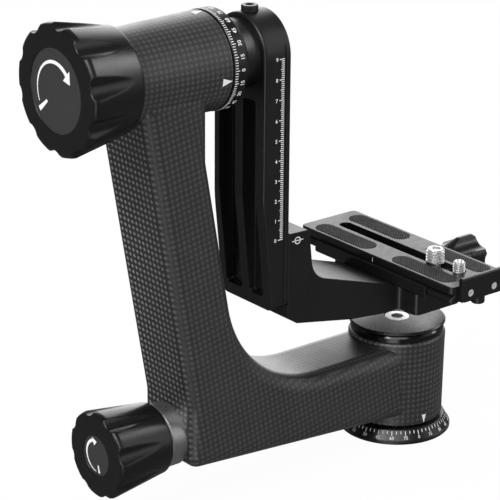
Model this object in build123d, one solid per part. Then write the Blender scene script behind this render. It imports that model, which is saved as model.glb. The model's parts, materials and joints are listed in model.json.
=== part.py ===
from build123d import *
import math
import os

# Gimbal tripod head. Millimetres, +Z up. Z is the panning axis, the tripod seat is the plane z = 0 and
# the tilt axis runs along X. The pan arm carries the tilt housing out at -X, and a swing arm hangs from
# it, with a cradle and a quick-release clamp that hold the camera plate over the panning axis.

# ---- clearances -------------------------------------------------------------------------------------
running_gap = 0.05      # radial gap of a turning or sliding round fit
slide_gap = 0.15        # gap between flat sliding faces
free_gap = 0.4          # gap between parts that pass without touching
plate_gap = 0.25        # gap between the camera plate and its clamp

# ---- pan base and spindle ---------------------------------------------------------------------------
base_radius = 29.4
base_rim_height = 1.8
base_skirt_top_radius = 26.3
base_height = 7.2
socket_minor_radius = 3.97      # 3/8"-16 thread, minor diameter
socket_depth = 13.0
insert_radius = 7.5
insert_length = 14.2
spindle_radius = 10.0
spindle_flange_radius = 17.0
spindle_flange_thickness = 3.2
spindle_top = 52.0
base_screw_circle = 12.5        # radius of the circle that the base screws lie on
base_screw_radius = 2.0
base_screw_head_radius = 3.5
base_screw_head_height = 3.0
base_screw_count = 3
base_screw_turn = 30.0          # angle of the first base screw
base_screw_sink = 1.2           # head below the top of the rim
base_screw_hex = 3.0
base_screw_hex_depth = 1.6
base_screw_short = 0.6          # thread end below the flange top

# ---- pan boss and cap -------------------------------------------------------------------------------
boss_gap = 1.2                  # dark gap between dial skirt and arm boss
boss_bottom_radius = 24.8
boss_top_radius = 25.3
boss_top = 55.0
seal_outer_radius = 24.3
seal_inner_radius = 17.0
seal_spigot_radius = 18.6
seal_spigot_depth = 2.2
seal_height = 3.6
cap_radius = 25.2
cap_thickness = 1.6
cap_top = 60.8
cap_hub_radius = 12.0
cap_bolt_head_radius = 6.8
cap_bolt_head_height = 4.0
cap_bolt_radius = 4.0
cap_bolt_length = 18.0
hex_across_flats = 6.0
hex_depth = 3.2

# ---- ball bearings, the same size on both axes --------------------------------------------------------
bearing_bore_radius = 10.0
bearing_outer_radius = 16.0
bearing_width = 7.0
race_wall = 1.9
ball_radius = 1.9
ball_count = 11
ball_gap = 0.08
cage_width = 5.0
cage_gap = 0.6                  # between a cage and the races
land_radius = 14.4              # bore of the arm between two bearings
pan_bearing_low = 13.0          # underside of the lower bearing
pan_bearing_high = 43.4         # underside of the upper bearing

# ---- moulded pan arm ----------------------------------------------------------------------------------
arm_half_width = 21.0
arm_edge_round = 6.5            # rounding of the long edges on the outer side of the corner
arm_inner_edge_round = 8.0      # the same on the hollow side
arm_flare = 25.0                # radius that flares the limbs into boss and housing
arm_flare_inset = 0.35          # depth that a flare ends at, inside the wall that it runs into
arm_top_level = 52.2
arm_root = 11.0                 # the limb's end inside the boss, short of the panning axis
arm_bottom_level_inner = 12.6   # underside carried in to the limb's end
arm_bottom_level_outer = 22.9   # underside at the outer corner
arm_outer_x = -149.3            # outer corner at the underside
arm_collar_face_x = -149.3      # outer face at the pan lock
arm_lean = 0.174                # outward run of the outer face for each mm of height above the collar
arm_inner_lean = 0.183          # the same for the inner face
arm_inner_foot_x = -115.4       # inner face carried down to the top of the horizontal arm
arm_inner_fillet = 60.0
arm_inner_bend_z = 178.0        # height above which the inner face runs upright into the housing
arm_inner_bend_round = 15.0
arm_outer_round = 6.0
arm_elbow_round = 12.0
arm_collar_margin = 1.4         # flat left above the collar
arm_upper_end_z = 212.0

# ---- tilt axis ------------------------------------------------------------------------------------------
tilt_z = 220.8
housing_x_outer = -178.2
housing_x_inner = -128.0
housing_radius_outer = 22.9
housing_radius_inner = 24.0
tilt_dial_x_outer = -127.5
tilt_dial_x_inner = -120.2
tilt_dial_radius = 24.2
hub_spigot_radius = 17.5
hub_flange_radius = 22.6
hub_flange_edge_radius = 21.0
hub_flange_width = 3.2
hub_neck_radius_outer = 18.6
hub_neck_radius_inner = 17.0
tilt_bearing_front = -137.2     # outer end of the bearing next to the dial
tilt_bearing_rear = -160.0
tilt_shaft_radius = 10.0
tilt_shaft_flange_radius = 13.5
tilt_shaft_flange_width = 3.0
tilt_stud_radius = 6.0
tilt_shaft_shoulder_x = -172.4
tilt_stud_end_x = -203.0
brake_chamber_radius = 20.0
brake_floor_x = -162.6
friction_disc_radius = 19.4
friction_disc_thickness = 2.0
pressure_ring_thickness = 4.6
pressure_ring_radius = 19.8
brake_play = 0.6                # travel that closes the brake stack
lock_nut_across_flats = 16.0
lock_nut_thickness = 4.5

# ---- tilt-lock knob ---------------------------------------------------------------------------------------
tilt_knob_front_x = -210.3
tilt_knob_rear_x = -178.8
tilt_knob_front_radius = 31.0
tilt_knob_rear_radius = 25.6
tilt_knob_flutes = 10
tilt_knob_flute_turn = 4.0      # angle of the first flute
tilt_knob_flute_radius = 6.4
tilt_knob_flute_depth = 3.0
tilt_knob_flute_runout = 26.0
tilt_knob_nose_width = 2.6
tilt_knob_nose_drop = 1.7
tilt_inlay_radius = 19.7
inlay_thickness = 1.4
inlay_recess = 0.3
tilt_knob_hollow_radius = 15.5
tilt_knob_hollow_depth = 12.0
tilt_knob_boss_radius = 14.0

# ---- pan-lock knob ----------------------------------------------------------------------------------------
pan_lock_z = 36.6
pan_knob_front_x = -192.0
pan_knob_rear_x = -158.6
pan_knob_front_radius = 21.9
pan_knob_rear_radius = 17.9
pan_knob_flutes = 8
pan_knob_flute_turn = 28.0
pan_knob_flute_radius = 5.6
pan_knob_flute_depth = 2.3
pan_knob_flute_runout = 27.0
pan_knob_nose_width = 2.2
pan_knob_nose_drop = 1.5
pan_inlay_radius = 10.1
collar_radius = 16.0
collar_edge = 0.8
collar_outer_x = -158.1
collar_spigot_radius = 9.0
collar_spigot_length = 12.0
lock_rod_thread_radius = 5.0
lock_rod_radius = 3.0
lock_rod_head_x = -187.0
tunnel_radius = 6.0
guide_bush_x = -84.0
guide_bush_length = 8.0
brake_pad_radius = 5.95
brake_pad_length = 13.0
pan_brake_play = 0.6            # gap of the open pan brake

# ---- swing arm ---------------------------------------------------------------------------------------------
swing_x_outer = -106.2
swing_x_inner = -90.7
swing_half_width = 19.5
swing_bottom = 93.6
swing_taper_start = 151.0
swing_taper = 5.2
swing_front_rib = 6.0
swing_middle_rib = 5.4
swing_rear_rib = 4.4
swing_pocket_depth = 8.4
swing_pocket_top = 200.0
swing_pocket_floor = 6.2
swing_pocket_round = 2.4
swing_corner_round = 4.0
swing_edge_round = 1.3
slot_mouth_half = 8.6
slot_floor_half = 11.4
slot_depth = 4.6
slot_top = 227.0
side_groove_x = -93.4
side_groove_width = 1.1
side_groove_depth = 0.9
hub_bolt_radius = 4.0
hub_bolt_head_radius = 6.5
hub_bolt_head_height = 4.2
hub_bolt_reach = 12.0
hub_screw_circle = 12.6
hub_screw_radius = 2.0
hub_screw_head_radius = 3.4
hub_screw_head_height = 4.0
hub_screw_length = 20.0
end_screw_x = -100.0
end_screw_head_radius = 4.1
end_screw_head_height = 3.5
end_screw_seat_depth = 0.5
end_screw_radius = 2.5
end_screw_length = 9.0

# ---- cradle ------------------------------------------------------------------------------------------------
cradle_half_width = 19.5
cradle_top = 131.8
cradle_inner_top_x = -77.4
cradle_inner_foot_x = -74.6
cradle_heel_z = 88.0
cradle_heel_x = -84.7
cradle_heel_low_z = 84.1
cradle_belly_x = -48.8
cradle_belly_z = 77.2
cradle_floor_slope = 0.312
cradle_fillet = 12.0
platform_half_length = 32.5
platform_x_outer = -17.0
platform_x_inner = 13.5
platform_bottom = 75.0
platform_top = 88.5
platform_corner = 3.0
tongue_gib_split = 4.6          # y of the joint between fixed tongue and gib
gib_root_depth = 9.4
gib_root_reach = 12.2           # y of the far side of the gib's pocket
gib_travel = 0.5
gib_bottom = 97.0
gib_top = 128.0
cradle_lock_z = 112.0
cradle_lock_x = -83.2
cradle_screw_radius = 2.5
cradle_knob_radius = 8.6
cradle_knob_length = 11.5
cradle_knob_neck_radius = 5.4
cradle_knob_lobes = 5

# ---- clamp and camera plate --------------------------------------------------------------------------------
clamp_half_length = 42.0
clamp_outer_x = -21.0
clamp_bed_thickness = 1.7
clamp_jaw_outer_x = 22.5
clamp_jaw_bottom = 75.2
clamp_jaw_height_gap = 0.3      # between jaw top and the plate's upper slab
clamp_screw_z = 81.6
clamp_screw_radius = 3.0
clamp_screw_end_x = -12.0
clamp_knob_start_x = 23.2
clamp_knob_end_x = 53.0
clamp_knob_radius = 13.0
clamp_knob_neck_radius = 6.0
clamp_knob_lobes = 6
guide_pin_radius = 2.0
guide_pin_y = 22.0
guide_pin_start_x = 2.0
bed_screw_radius = 1.5
bed_screw_head_radius = 2.7
bed_screw_head_height = 1.5
bed_screw_length = 9.0
bed_screw_x = 9.0
bed_screw_y = 27.0

plate_y = -1.4
plate_half_length = 58.0
plate_half_width = 19.0
plate_bottom = 90.5
plate_thickness = 8.5
plate_foot_height = 1.4
plate_neck_half = 16.7
plate_slab_thickness = 3.8
plate_corner = 3.0
plate_slot_half_width = 3.55
plate_slot_half_length = 46.8
plate_recess_half_width = 7.4
plate_recess_depth = 4.0
pad_x = 11.6
pad_y = 30.0
pad_length = 43.0
pad_width = 10.4
pad_depth = 0.9
pad_proud = 0.35
lip_half_width = 14.0
lip_thickness = 2.6
lip_above_plate = 4.2
lip_bottom_above_foot = 0.4
lip_screw_x = 8.0
lip_screw_radius = 1.5
lip_screw_length = 10.0
lip_screw_head_radius = 1.9
lip_screw_head_height = 1.2
stop_screw_x = 4.5
stop_screw_inset = 5.2          # from the plate's end
stop_screw_radius = 2.0
stop_screw_head_radius = 3.5
stop_screw_head_height = 6.0
stop_screw_length = 5.0
carrier_radius = 7.0
carrier_thickness = 1.2
screw_neck_radius = 3.0
screw_head_radius = 6.6
screw_head_height = 2.2
large_screw_y = -27.0
large_screw_radius = 4.7625     # 3/8" thread
large_screw_height = 7.2
small_screw_y = -44.5
small_screw_radius = 3.175      # 1/4" thread
small_screw_height = 5.6
screw_point = 0.7

# ---- derived places ----------------------------------------------------------------------------------------
boss_bottom = base_height + boss_gap
plate_top = plate_bottom + plate_thickness
slab_bottom = plate_top - plate_slab_thickness
jaw_top = slab_bottom - clamp_jaw_height_gap
spindle_flange_top = base_height + spindle_flange_thickness


# ---- shape helpers -----------------------------------------------------------------------------------------
def turned(points):
    """Solid of revolution about Z from (radius, height) corners."""
    return revolve(make_face(Plane.XZ * Polyline(*points, close=True)), Axis.Z)


def rod(radius, low, high, inner=0.0):
    """Cylinder or tube along Z between two heights."""
    if inner:
        return turned([(inner, low), (radius, low), (radius, high), (inner, high)])
    return Pos(0, 0, (low + high) / 2) * Cylinder(radius, high - low)


def along_x(shape, z=tilt_z, y=0.0):
    """Lay a shape built on Z along X, its +Z end towards +X."""
    return Pos(0, y, z) * (Rot(0, 90, 0) * shape)


def along_y(shape, x, z):
    """Lay a shape built on Z along Y, its +Z end towards +Y."""
    return Pos(x, 0, z) * (Rot(-90, 0, 0) * shape)


def block(x, y, z):
    """Box from three (low, high) pairs."""
    centre = Pos(sum(x) / 2, sum(y) / 2, sum(z) / 2)
    return centre * Box(x[1] - x[0], y[1] - y[0], z[1] - z[0])


def prism_y(points, low, high):
    """Prism along Y over an outline in X and Z."""
    face = make_face(Plane.XZ * Polyline(*points, close=True))
    return Pos(0, low, 0) * extrude(face, high - low, dir=(0, 1, 0))


def stadium(half_length, half_width, low, high, x=0.0, y=0.0):
    """Round-ended bar whose long side lies along Y."""
    outline = SlotOverall(2 * half_length, 2 * half_width, rotation=90)
    return Pos(x, y, low) * extrude(outline, high - low)


def upright(shape, radius):
    """Round the edges of a block that stand along Z."""
    return fillet(shape.edges().filter_by(Axis.Z), radius)


def hexagon(across_flats, low, high):
    """Hexagonal prism on Z."""
    return Pos(0, 0, low) * extrude(RegularPolygon(across_flats / math.sqrt(3), 6), high - low)


def around(shape, count, start=0.0):
    """Copies of a shape turned about Z."""
    return [Rot(0, 0, start + 360 * i / count) * shape for i in range(count)]


def group(shapes):
    """Separate solids kept in one node."""
    return Compound(children=[solid for shape in shapes for solid in shape.solids()])


def rounded_nose(length, front_radius, rear_radius, nose_width, nose_drop):
    """Outline of a knob on Z, its front face at z = 0 and its rear at z = length."""
    tail = nose_width / 2
    return [(0, 0), (front_radius - nose_drop, 0), (front_radius - 0.3 * nose_drop, 0.3 * nose_width),
            (front_radius, nose_width), (rear_radius, length - tail), (rear_radius - tail, length),
            (0, length)]


def fluted_knob(length, front, rear, flutes, turn, flute_radius, flute_depth, runout, nose_width, nose_drop):
    """Grip knob on Z with flutes that start deep at the front face and run out towards the rear."""
    knob = turned(rounded_nose(length, front, rear, nose_width, nose_drop))
    tilt = math.degrees(math.atan2(front - rear, length) - math.atan2(flute_depth, runout))
    cutter = Pos(front + flute_radius - flute_depth, 0,
                 0) * (Rot(0, -tilt, 0) * Cylinder(flute_radius, 4 * runout))
    for flute in around(cutter, flutes, turn):
        knob -= flute
    return knob


def lobed_knob(length, radius, neck_radius, lobes):
    """Small flared grip on Z: narrow neck at z = 0, scalloped wide end at z = length."""
    body = turned([(0, 0), (neck_radius, 0), (neck_radius, 0.16 * length), (radius, 0.62 * length),
                   (radius, 0.94 * length), (radius - 1.2, length), (0, length)])
    scoop_radius = 0.62 * radius
    scoop = Pos(radius + 0.58 * scoop_radius, 0, length / 2) * Cylinder(scoop_radius, 2 * length)
    for cut in around(scoop, lobes, 180 / lobes):
        body -= cut
    return body


# ---- bearings ----------------------------------------------------------------------------------------------
ball_track_radius = (bearing_bore_radius + bearing_outer_radius) / 2


def ball_track(low):
    """Ring-shaped groove that the balls of one bearing run in."""
    circle = Plane.XZ * Pos(ball_track_radius, low + bearing_width / 2) * Circle(ball_radius + ball_gap)
    return revolve(circle, Axis.Z)


def inner_race(low):
    """Inner ring of a bearing on Z."""
    return rod(bearing_bore_radius + race_wall, low, low + bearing_width,
               bearing_bore_radius) - ball_track(low)


def outer_race(low):
    """Outer ring of a bearing on Z."""
    return rod(bearing_outer_radius, low, low + bearing_width,
               bearing_outer_radius - race_wall) - ball_track(low)


def balls(low):
    """Balls of one bearing."""
    ball = Pos(ball_track_radius, 0, low + bearing_width / 2) * Sphere(ball_radius)
    return around(ball, ball_count)


def ball_cage(low):
    """Ring that spaces the balls, with one round pocket for each."""
    middle = low + bearing_width / 2
    cage_outer = bearing_outer_radius - race_wall - cage_gap
    cage_inner = bearing_bore_radius + race_wall + cage_gap
    cage = rod(cage_outer, middle - cage_width / 2, middle + cage_width / 2, cage_inner)
    pocket = Pos(ball_track_radius, 0,
                 middle) * (Rot(0, 90, 0) * Cylinder(ball_radius + ball_gap, bearing_bore_radius))
    for cut in around(pocket, ball_count):
        cage -= cut
    return cage


# ---- pan base, spindle and cap -----------------------------------------------------------------------------
def base_screw_stack(radius_extra=0.0):
    """One base screw on Z, or its hole when given an extra radius."""
    shank = rod(base_screw_radius + radius_extra, 0, spindle_flange_top - base_screw_short)
    head_low = base_rim_height - base_screw_sink
    head = rod(base_screw_head_radius + radius_extra, head_low, head_low + base_screw_head_height)
    return shank, head


def pan_base():
    """Graduated base: black rim, conical dial skirt and flat seat for the spindle."""
    body = turned([(0, 0), (base_radius - 0.5, 0), (base_radius, 0.5), (base_radius, base_rim_height),
                   (base_radius - 0.5, base_rim_height + 0.2), (base_skirt_top_radius, base_height - 0.3),
                   (base_skirt_top_radius - 0.3, base_height), (0, base_height)])
    body -= rod(insert_radius, -1, base_height + 1)
    shank, _ = base_screw_stack()
    head_well = rod(base_screw_head_radius, -1, base_rim_height - base_screw_sink + base_screw_head_height)
    for cut in around(Pos(base_screw_circle, 0, 0) * (shank + head_well), base_screw_count, base_screw_turn):
        body -= cut
    return body


def tripod_socket():
    """Threaded steel insert that the tripod stud screws into."""
    insert = turned([(0, 0), (insert_radius - 0.5, 0), (insert_radius, 0.5), (insert_radius, insert_length),
                     (0, insert_length)])
    return insert - rod(socket_minor_radius, -1, socket_depth)


def pan_spindle():
    """Fixed post that the whole head turns about."""
    post = turned([(0, base_height), (spindle_flange_radius, base_height),
                   (spindle_flange_radius, spindle_flange_top),
                   (spindle_radius + 1.4, spindle_flange_top), (spindle_radius + 1.4, pan_bearing_low),
                   (spindle_radius, pan_bearing_low), (spindle_radius, spindle_top - 0.5),
                   (spindle_radius - 0.5, spindle_top), (0, spindle_top)])
    post -= rod(insert_radius, base_height - 1, insert_length)
    post -= rod(cap_bolt_radius, cap_top - cap_bolt_head_height - cap_bolt_length, spindle_top + 1)
    shank, _ = base_screw_stack()
    for cut in around(Pos(base_screw_circle, 0, 0) * shank, base_screw_count, base_screw_turn):
        post -= cut
    return post


def base_screws():
    """Screws that hold the spindle down on the base."""
    shank, head = base_screw_stack()
    head_bottom = base_rim_height - base_screw_sink
    screw = rod(base_screw_radius, head_bottom, spindle_flange_top - base_screw_short) + head
    screw -= hexagon(base_screw_hex, head_bottom - 1, head_bottom + base_screw_hex_depth)
    return group(around(Pos(base_screw_circle, 0, 0) * screw, base_screw_count, base_screw_turn))


def pan_cap():
    """Turned disc that closes the boss and holds the arm down on the spindle."""
    low = cap_top - cap_thickness
    cap = turned([(0, spindle_top), (cap_hub_radius, spindle_top), (cap_hub_radius, low),
                  (cap_radius - 0.4, low),
                  (cap_radius, low + 0.4), (cap_radius, cap_top - 0.6), (cap_radius - 0.6, cap_top),
                  (0, cap_top)])
    cap -= rod(cap_bolt_head_radius, cap_top - cap_bolt_head_height, cap_top + 1)
    return cap - rod(cap_bolt_radius, 0, cap_top)


def pan_cap_bolt():
    """Centre bolt with a hexagon socket."""
    head_low = cap_top - cap_bolt_head_height
    head_top = cap_top - 0.1
    bolt = turned([(0, head_low - cap_bolt_length), (cap_bolt_radius, head_low - cap_bolt_length),
                   (cap_bolt_radius, head_low), (cap_bolt_head_radius, head_low),
                   (cap_bolt_head_radius, head_top - 0.5),
                   (cap_bolt_head_radius - 0.5, head_top), (0, head_top)])
    return bolt - hexagon(hex_across_flats, head_top - hex_depth, head_top + 1)


def pan_cap_seal():
    """Glossy dust ring on top of the boss, just under the cap."""
    top = boss_top + seal_height
    return turned([(seal_inner_radius, boss_top - seal_spigot_depth),
                   (seal_spigot_radius, boss_top - seal_spigot_depth),
                   (seal_spigot_radius, boss_top), (seal_outer_radius, boss_top),
                   (seal_outer_radius, top - 1.2),
                   (seal_outer_radius - 0.8, top), (seal_inner_radius, top)])


# ---- moulded pan arm ---------------------------------------------------------------------------------------
arm_elbow_z = pan_lock_z + collar_radius + arm_collar_margin


def arm_outer_face_x(z):
    """X of the leaning outer face at a height above the elbow."""
    return arm_collar_face_x - arm_lean * (z - arm_elbow_z)


def arm_inner_face_x(z):
    """X of the leaning inner face at a height."""
    return arm_inner_foot_x - arm_inner_lean * (z - arm_top_level)


def arm_side_prism():
    """Horizontal and leaning limbs in side view, drawn wide."""
    corners = [((arm_outer_face_x(arm_upper_end_z), arm_upper_end_z), 0),
               ((arm_collar_face_x, arm_elbow_z), arm_elbow_round),
               ((arm_collar_face_x, pan_lock_z - collar_radius / 2), 0),
               ((arm_outer_x, arm_bottom_level_outer), arm_outer_round),
               ((-arm_root, arm_bottom_level_inner), 0),
               ((-arm_root, arm_top_level), 0),
               ((arm_inner_foot_x, arm_top_level), arm_inner_fillet),
               ((arm_inner_face_x(arm_inner_bend_z), arm_inner_bend_z), arm_inner_bend_round),
               ((arm_inner_face_x(arm_inner_bend_z), arm_upper_end_z), 0)]
    outline = FilletPolyline(*[point for point, _ in corners], radius=[radius for _, radius in corners],
                             close=True)
    width = 2 * boss_top_radius
    return Pos(0, -width / 2, 0) * extrude(make_face(Plane.XZ * outline), width, dir=(0, 1, 0))


def flared_outline(length, radius, root):
    """Bar outline along -X that flares into a cylinder of a given radius at the origin."""
    half = arm_half_width
    centre_x = -math.sqrt((radius + arm_flare) ** 2 - (half + arm_flare) ** 2)
    share = radius / (radius + arm_flare)
    meet = (centre_x * share, (half + arm_flare) * share)
    middle_angle = (math.atan2(-half - arm_flare, -centre_x) - math.pi / 2) / 2
    middle = (centre_x + arm_flare * math.cos(middle_angle),
              half + arm_flare + arm_flare * math.sin(middle_angle))
    upper = [Line((-length, half), (centre_x, half)), ThreePointArc((centre_x, half), middle, meet),
             Line(meet, (-root, meet[1]))]
    lower = [mirror(curve, about=Plane.XZ) for curve in upper]
    ends = [Line((-length, -half), (-length, half)), Line((-root, -meet[1]), (-root, meet[1]))]
    return make_face([curve.edge() for curve in upper + lower + ends])


def arm_width_prism():
    """Width of the limbs, flared into the pan boss below and into the tilt housing above."""
    reach = -arm_outer_face_x(arm_upper_end_z) + 10
    split = (arm_top_level + arm_upper_end_z) / 2
    lower = extrude(flared_outline(reach, boss_bottom_radius - arm_flare_inset, arm_root - 1), split,
                    dir=(0, 0, 1))
    hanging = flared_outline(tilt_z - split, housing_radius_outer - arm_flare_inset,
                             tilt_z - arm_upper_end_z - 1)
    upper = Rot(0, -90, 0) * extrude(hanging, reach, dir=(0, 0, 1))
    return lower + Pos(0, 0, tilt_z) * upper


def arm_limbs():
    """Horizontal and leaning limbs as one rounded bar bent round the corner."""
    limbs = arm_side_prism() & arm_width_prism()
    limbs = fillet(limb_edges(limbs, inner=True), arm_inner_edge_round)
    return fillet(limb_edges(limbs, inner=False), arm_edge_round)


def limb_edges(limbs, inner):
    """Long edges of the limbs' side view, on the hollow side of the corner or on its outer side."""
    outline_faces = [face for face in limbs.faces() if abs(face.normal_at().Y) < 0.01]
    edges = [edge for face in outline_faces for edge in face.edges()]
    beside = [edge for edge in edges if abs(edge.center().Y) > arm_half_width - 0.01]
    return [edge for edge in beside if is_inner_point(edge.center()) == inner and not is_at_end(edge.center())]


def is_at_end(point):
    """Whether a point lies on the end faces inside the boss and the housing."""
    return point.X > -arm_root - 0.01 or point.Z > arm_upper_end_z - 0.01


def is_inner_point(point):
    """Whether a point is on the hollow side of the corner."""
    middle_x = (arm_outer_face_x(point.Z) + arm_inner_face_x(point.Z)) / 2
    return point.Z > pan_lock_z and point.X > middle_x


def pan_arm():
    """One-piece moulded arm: pan boss, bent limb and tilt housing with their bores."""
    boss = turned([(0, boss_bottom), (boss_bottom_radius - 0.6, boss_bottom),
                   (boss_bottom_radius, boss_bottom + 0.6),
                   (boss_top_radius, boss_top - 1.6), (boss_top_radius - 0.5, boss_top - 0.5),
                   (boss_top_radius - 1.6, boss_top), (0, boss_top)])
    housing = along_x(turned([(0, housing_x_outer), (housing_radius_outer - 0.6, housing_x_outer),
                              (housing_radius_outer, housing_x_outer + 0.6),
                              (housing_radius_inner, housing_x_inner - 0.6),
                              (housing_radius_inner - 0.6, housing_x_inner), (0, housing_x_inner)]))
    arm = arm_limbs() + boss + housing
    arm -= pan_bores()
    arm -= tilt_bores()
    arm -= lock_tunnel()
    return arm


def pan_bores():
    """Stepped bore of the pan boss."""
    low_end = pan_bearing_low + bearing_width
    return (rod(spindle_flange_radius + free_gap, boss_bottom - 1, pan_bearing_low)
            + rod(bearing_outer_radius, pan_bearing_low - 0.1, low_end)
            + rod(land_radius, low_end - 0.1, pan_bearing_high + 0.1)
            + rod(bearing_outer_radius, pan_bearing_high, boss_top - seal_spigot_depth + 0.1)
            + rod(seal_spigot_radius, boss_top - seal_spigot_depth, boss_top + 1))


def tilt_bores():
    """Stepped bore of the tilt housing with the brake chamber at its outer end."""
    front_end = tilt_bearing_front
    rear_end = tilt_bearing_rear + bearing_width
    return along_x(rod(bearing_outer_radius, front_end, housing_x_inner + 1)
                   + rod(land_radius, rear_end - 0.1, front_end + 0.1)
                   + rod(bearing_outer_radius, brake_floor_x - 0.1, rear_end)
                   + rod(brake_chamber_radius, housing_x_outer - 1, brake_floor_x))


def lock_tunnel():
    """Bore for the pan-lock rod, from the collar to the spindle."""
    bore = rod(tunnel_radius, arm_collar_face_x - 5, -spindle_radius)
    seat = rod(collar_spigot_radius, arm_collar_face_x - 5, arm_collar_face_x + collar_spigot_length)
    return along_x(bore + seat, pan_lock_z)


# ---- bearings on the two axes ------------------------------------------------------------------------------
pan_bearing_lows = (pan_bearing_low, pan_bearing_high)
tilt_bearing_lows = (tilt_bearing_rear, tilt_bearing_front)


def pan_set(make):
    """Both pan bearings' copies of one ring."""
    return group([make(low) for low in pan_bearing_lows])


def tilt_set(make):
    """Both tilt bearings' copies of one ring."""
    return group([along_x(make(low)) for low in tilt_bearing_lows])


def pan_balls():
    """All balls of the pan bearings."""
    return group([ball for low in pan_bearing_lows for ball in balls(low)])


def tilt_balls():
    """All balls of the tilt bearings."""
    return group([along_x(ball) for low in tilt_bearing_lows for ball in balls(low)])


# ---- pan lock ----------------------------------------------------------------------------------------------
def pan_lock_knob():
    """Fluted pan-lock knob with a bore for its rod and a recess for the inlay."""
    length = pan_knob_rear_x - pan_knob_front_x
    knob = fluted_knob(length, pan_knob_front_radius, pan_knob_rear_radius, pan_knob_flutes,
                       pan_knob_flute_turn,
                       pan_knob_flute_radius, pan_knob_flute_depth, pan_knob_flute_runout,
                       pan_knob_nose_width,
                       pan_knob_nose_drop)
    knob -= rod(pan_inlay_radius, -1, inlay_thickness + inlay_recess)
    knob -= rod(lock_rod_thread_radius + running_gap, inlay_thickness, length + 1)
    return along_x(Pos(0, 0, pan_knob_front_x) * knob, pan_lock_z)


def inlay(radius, front_x, z):
    """Round label plate set in a knob's front."""
    low = front_x + inlay_recess
    return along_x(rod(radius, low, low + inlay_thickness), z)


def lock_collar():
    """Bright collar between the pan-lock knob and the arm, its spigot pressed into the arm."""
    spigot_end = arm_collar_face_x + collar_spigot_length
    ring = turned([(0, collar_outer_x), (collar_radius - collar_edge, collar_outer_x),
                   (collar_radius, collar_outer_x + collar_edge), (collar_radius, arm_collar_face_x),
                   (collar_spigot_radius, arm_collar_face_x), (collar_spigot_radius, spigot_end),
                   (0, spigot_end)])
    return along_x(ring - rod(lock_rod_thread_radius + running_gap, collar_outer_x - 1, spigot_end + 1),
                   pan_lock_z)


def pad_end_x():
    """X of the brake pad's face at rest, clear of the spindle by the brake's play."""
    return -(spindle_radius + pan_brake_play)


def pan_lock_rod():
    """Long rod that carries the knob's thrust through the arm to the brake pad."""
    tail = pad_end_x() - brake_pad_length
    thread_end = arm_collar_face_x + collar_spigot_length + 2
    return along_x(turned([(0, lock_rod_head_x), (lock_rod_thread_radius - 0.6, lock_rod_head_x),
                           (lock_rod_thread_radius, lock_rod_head_x + 0.6),
                           (lock_rod_thread_radius, thread_end),
                           (lock_rod_radius, thread_end + 1.5), (lock_rod_radius, tail), (0, tail)]),
                           pan_lock_z)


def pan_brake_pad():
    """Slug with a hollow face that grips the spindle."""
    slug = along_x(rod(brake_pad_radius, pad_end_x() - brake_pad_length, -spindle_radius / 2), pan_lock_z)
    return slug - rod(spindle_radius + pan_brake_play, 0, spindle_top)


def rod_guide_bush():
    """Bush that steadies the lock rod half way along the arm."""
    return along_x(rod(tunnel_radius, guide_bush_x, guide_bush_x + guide_bush_length,
                       lock_rod_radius + running_gap),
                   pan_lock_z)


# ---- tilt axis ---------------------------------------------------------------------------------------------
def tilt_shaft():
    """Shaft that hangs the swing arm in the housing, with a threaded stud for the lock."""
    flange_low = tilt_dial_x_outer + 0.3 - tilt_shaft_flange_width
    face = tilt_dial_x_outer + 0.3
    shaft = turned([(0, tilt_stud_end_x), (tilt_stud_radius - 0.6, tilt_stud_end_x),
                    (tilt_stud_radius, tilt_stud_end_x + 0.6),
                    (tilt_stud_radius, tilt_shaft_shoulder_x), (tilt_shaft_radius, tilt_shaft_shoulder_x),
                    (tilt_shaft_radius, flange_low), (tilt_shaft_flange_radius, flange_low),
                    (tilt_shaft_flange_radius, face), (0, face)])
    shaft -= rod(hub_bolt_radius, face - hub_bolt_reach, face + 1)
    return along_x(shaft)


def friction_disc():
    """Disc that turns with the tilt shaft between housing and pressure ring."""
    low = brake_floor_x - 0.2 - friction_disc_thickness
    return along_x(rod(friction_disc_radius, low, low + friction_disc_thickness, tilt_shaft_radius))


def pressure_ring():
    """Ring that the tilt-lock knob pushes against the friction disc."""
    high = brake_floor_x - 0.2 - friction_disc_thickness - brake_play
    return along_x(rod(pressure_ring_radius, high - pressure_ring_thickness, high,
                       tilt_shaft_radius + free_gap))


def pressure_ring_outer_x():
    """X of the pressure ring's outer face at rest."""
    return brake_floor_x - 0.2 - friction_disc_thickness - brake_play - pressure_ring_thickness


def tilt_lock_knob():
    """Large fluted knob, its boss running on the shaft's stud inside the brake chamber."""
    length = tilt_knob_rear_x - tilt_knob_front_x
    knob = fluted_knob(length, tilt_knob_front_radius, tilt_knob_rear_radius, tilt_knob_flutes,
                       tilt_knob_flute_turn,
                       tilt_knob_flute_radius, tilt_knob_flute_depth, tilt_knob_flute_runout,
                       tilt_knob_nose_width,
                       tilt_knob_nose_drop)
    boss_end = pressure_ring_outer_x() - 0.3 - tilt_knob_front_x
    knob += rod(tilt_knob_boss_radius, length - 1, boss_end)
    knob -= rod(tilt_inlay_radius, -1, inlay_thickness + inlay_recess)
    knob -= rod(tilt_knob_hollow_radius, inlay_thickness, tilt_knob_hollow_depth)
    knob -= rod(tilt_stud_radius + running_gap, tilt_knob_hollow_depth - 1, boss_end + 1)
    knob -= rod(tilt_shaft_radius + free_gap, tilt_shaft_shoulder_x - tilt_knob_front_x - free_gap,
                boss_end + 1)
    return along_x(Pos(0, 0, tilt_knob_front_x) * knob)


def tilt_lock_nut():
    """Nut on the end of the stud that keeps the knob from coming off."""
    low = tilt_knob_front_x + tilt_knob_hollow_depth - 0.3 - lock_nut_thickness
    nut = hexagon(lock_nut_across_flats, low, low + lock_nut_thickness)
    return along_x(nut - rod(tilt_stud_radius, low - 1, low + lock_nut_thickness + 1))


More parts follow.
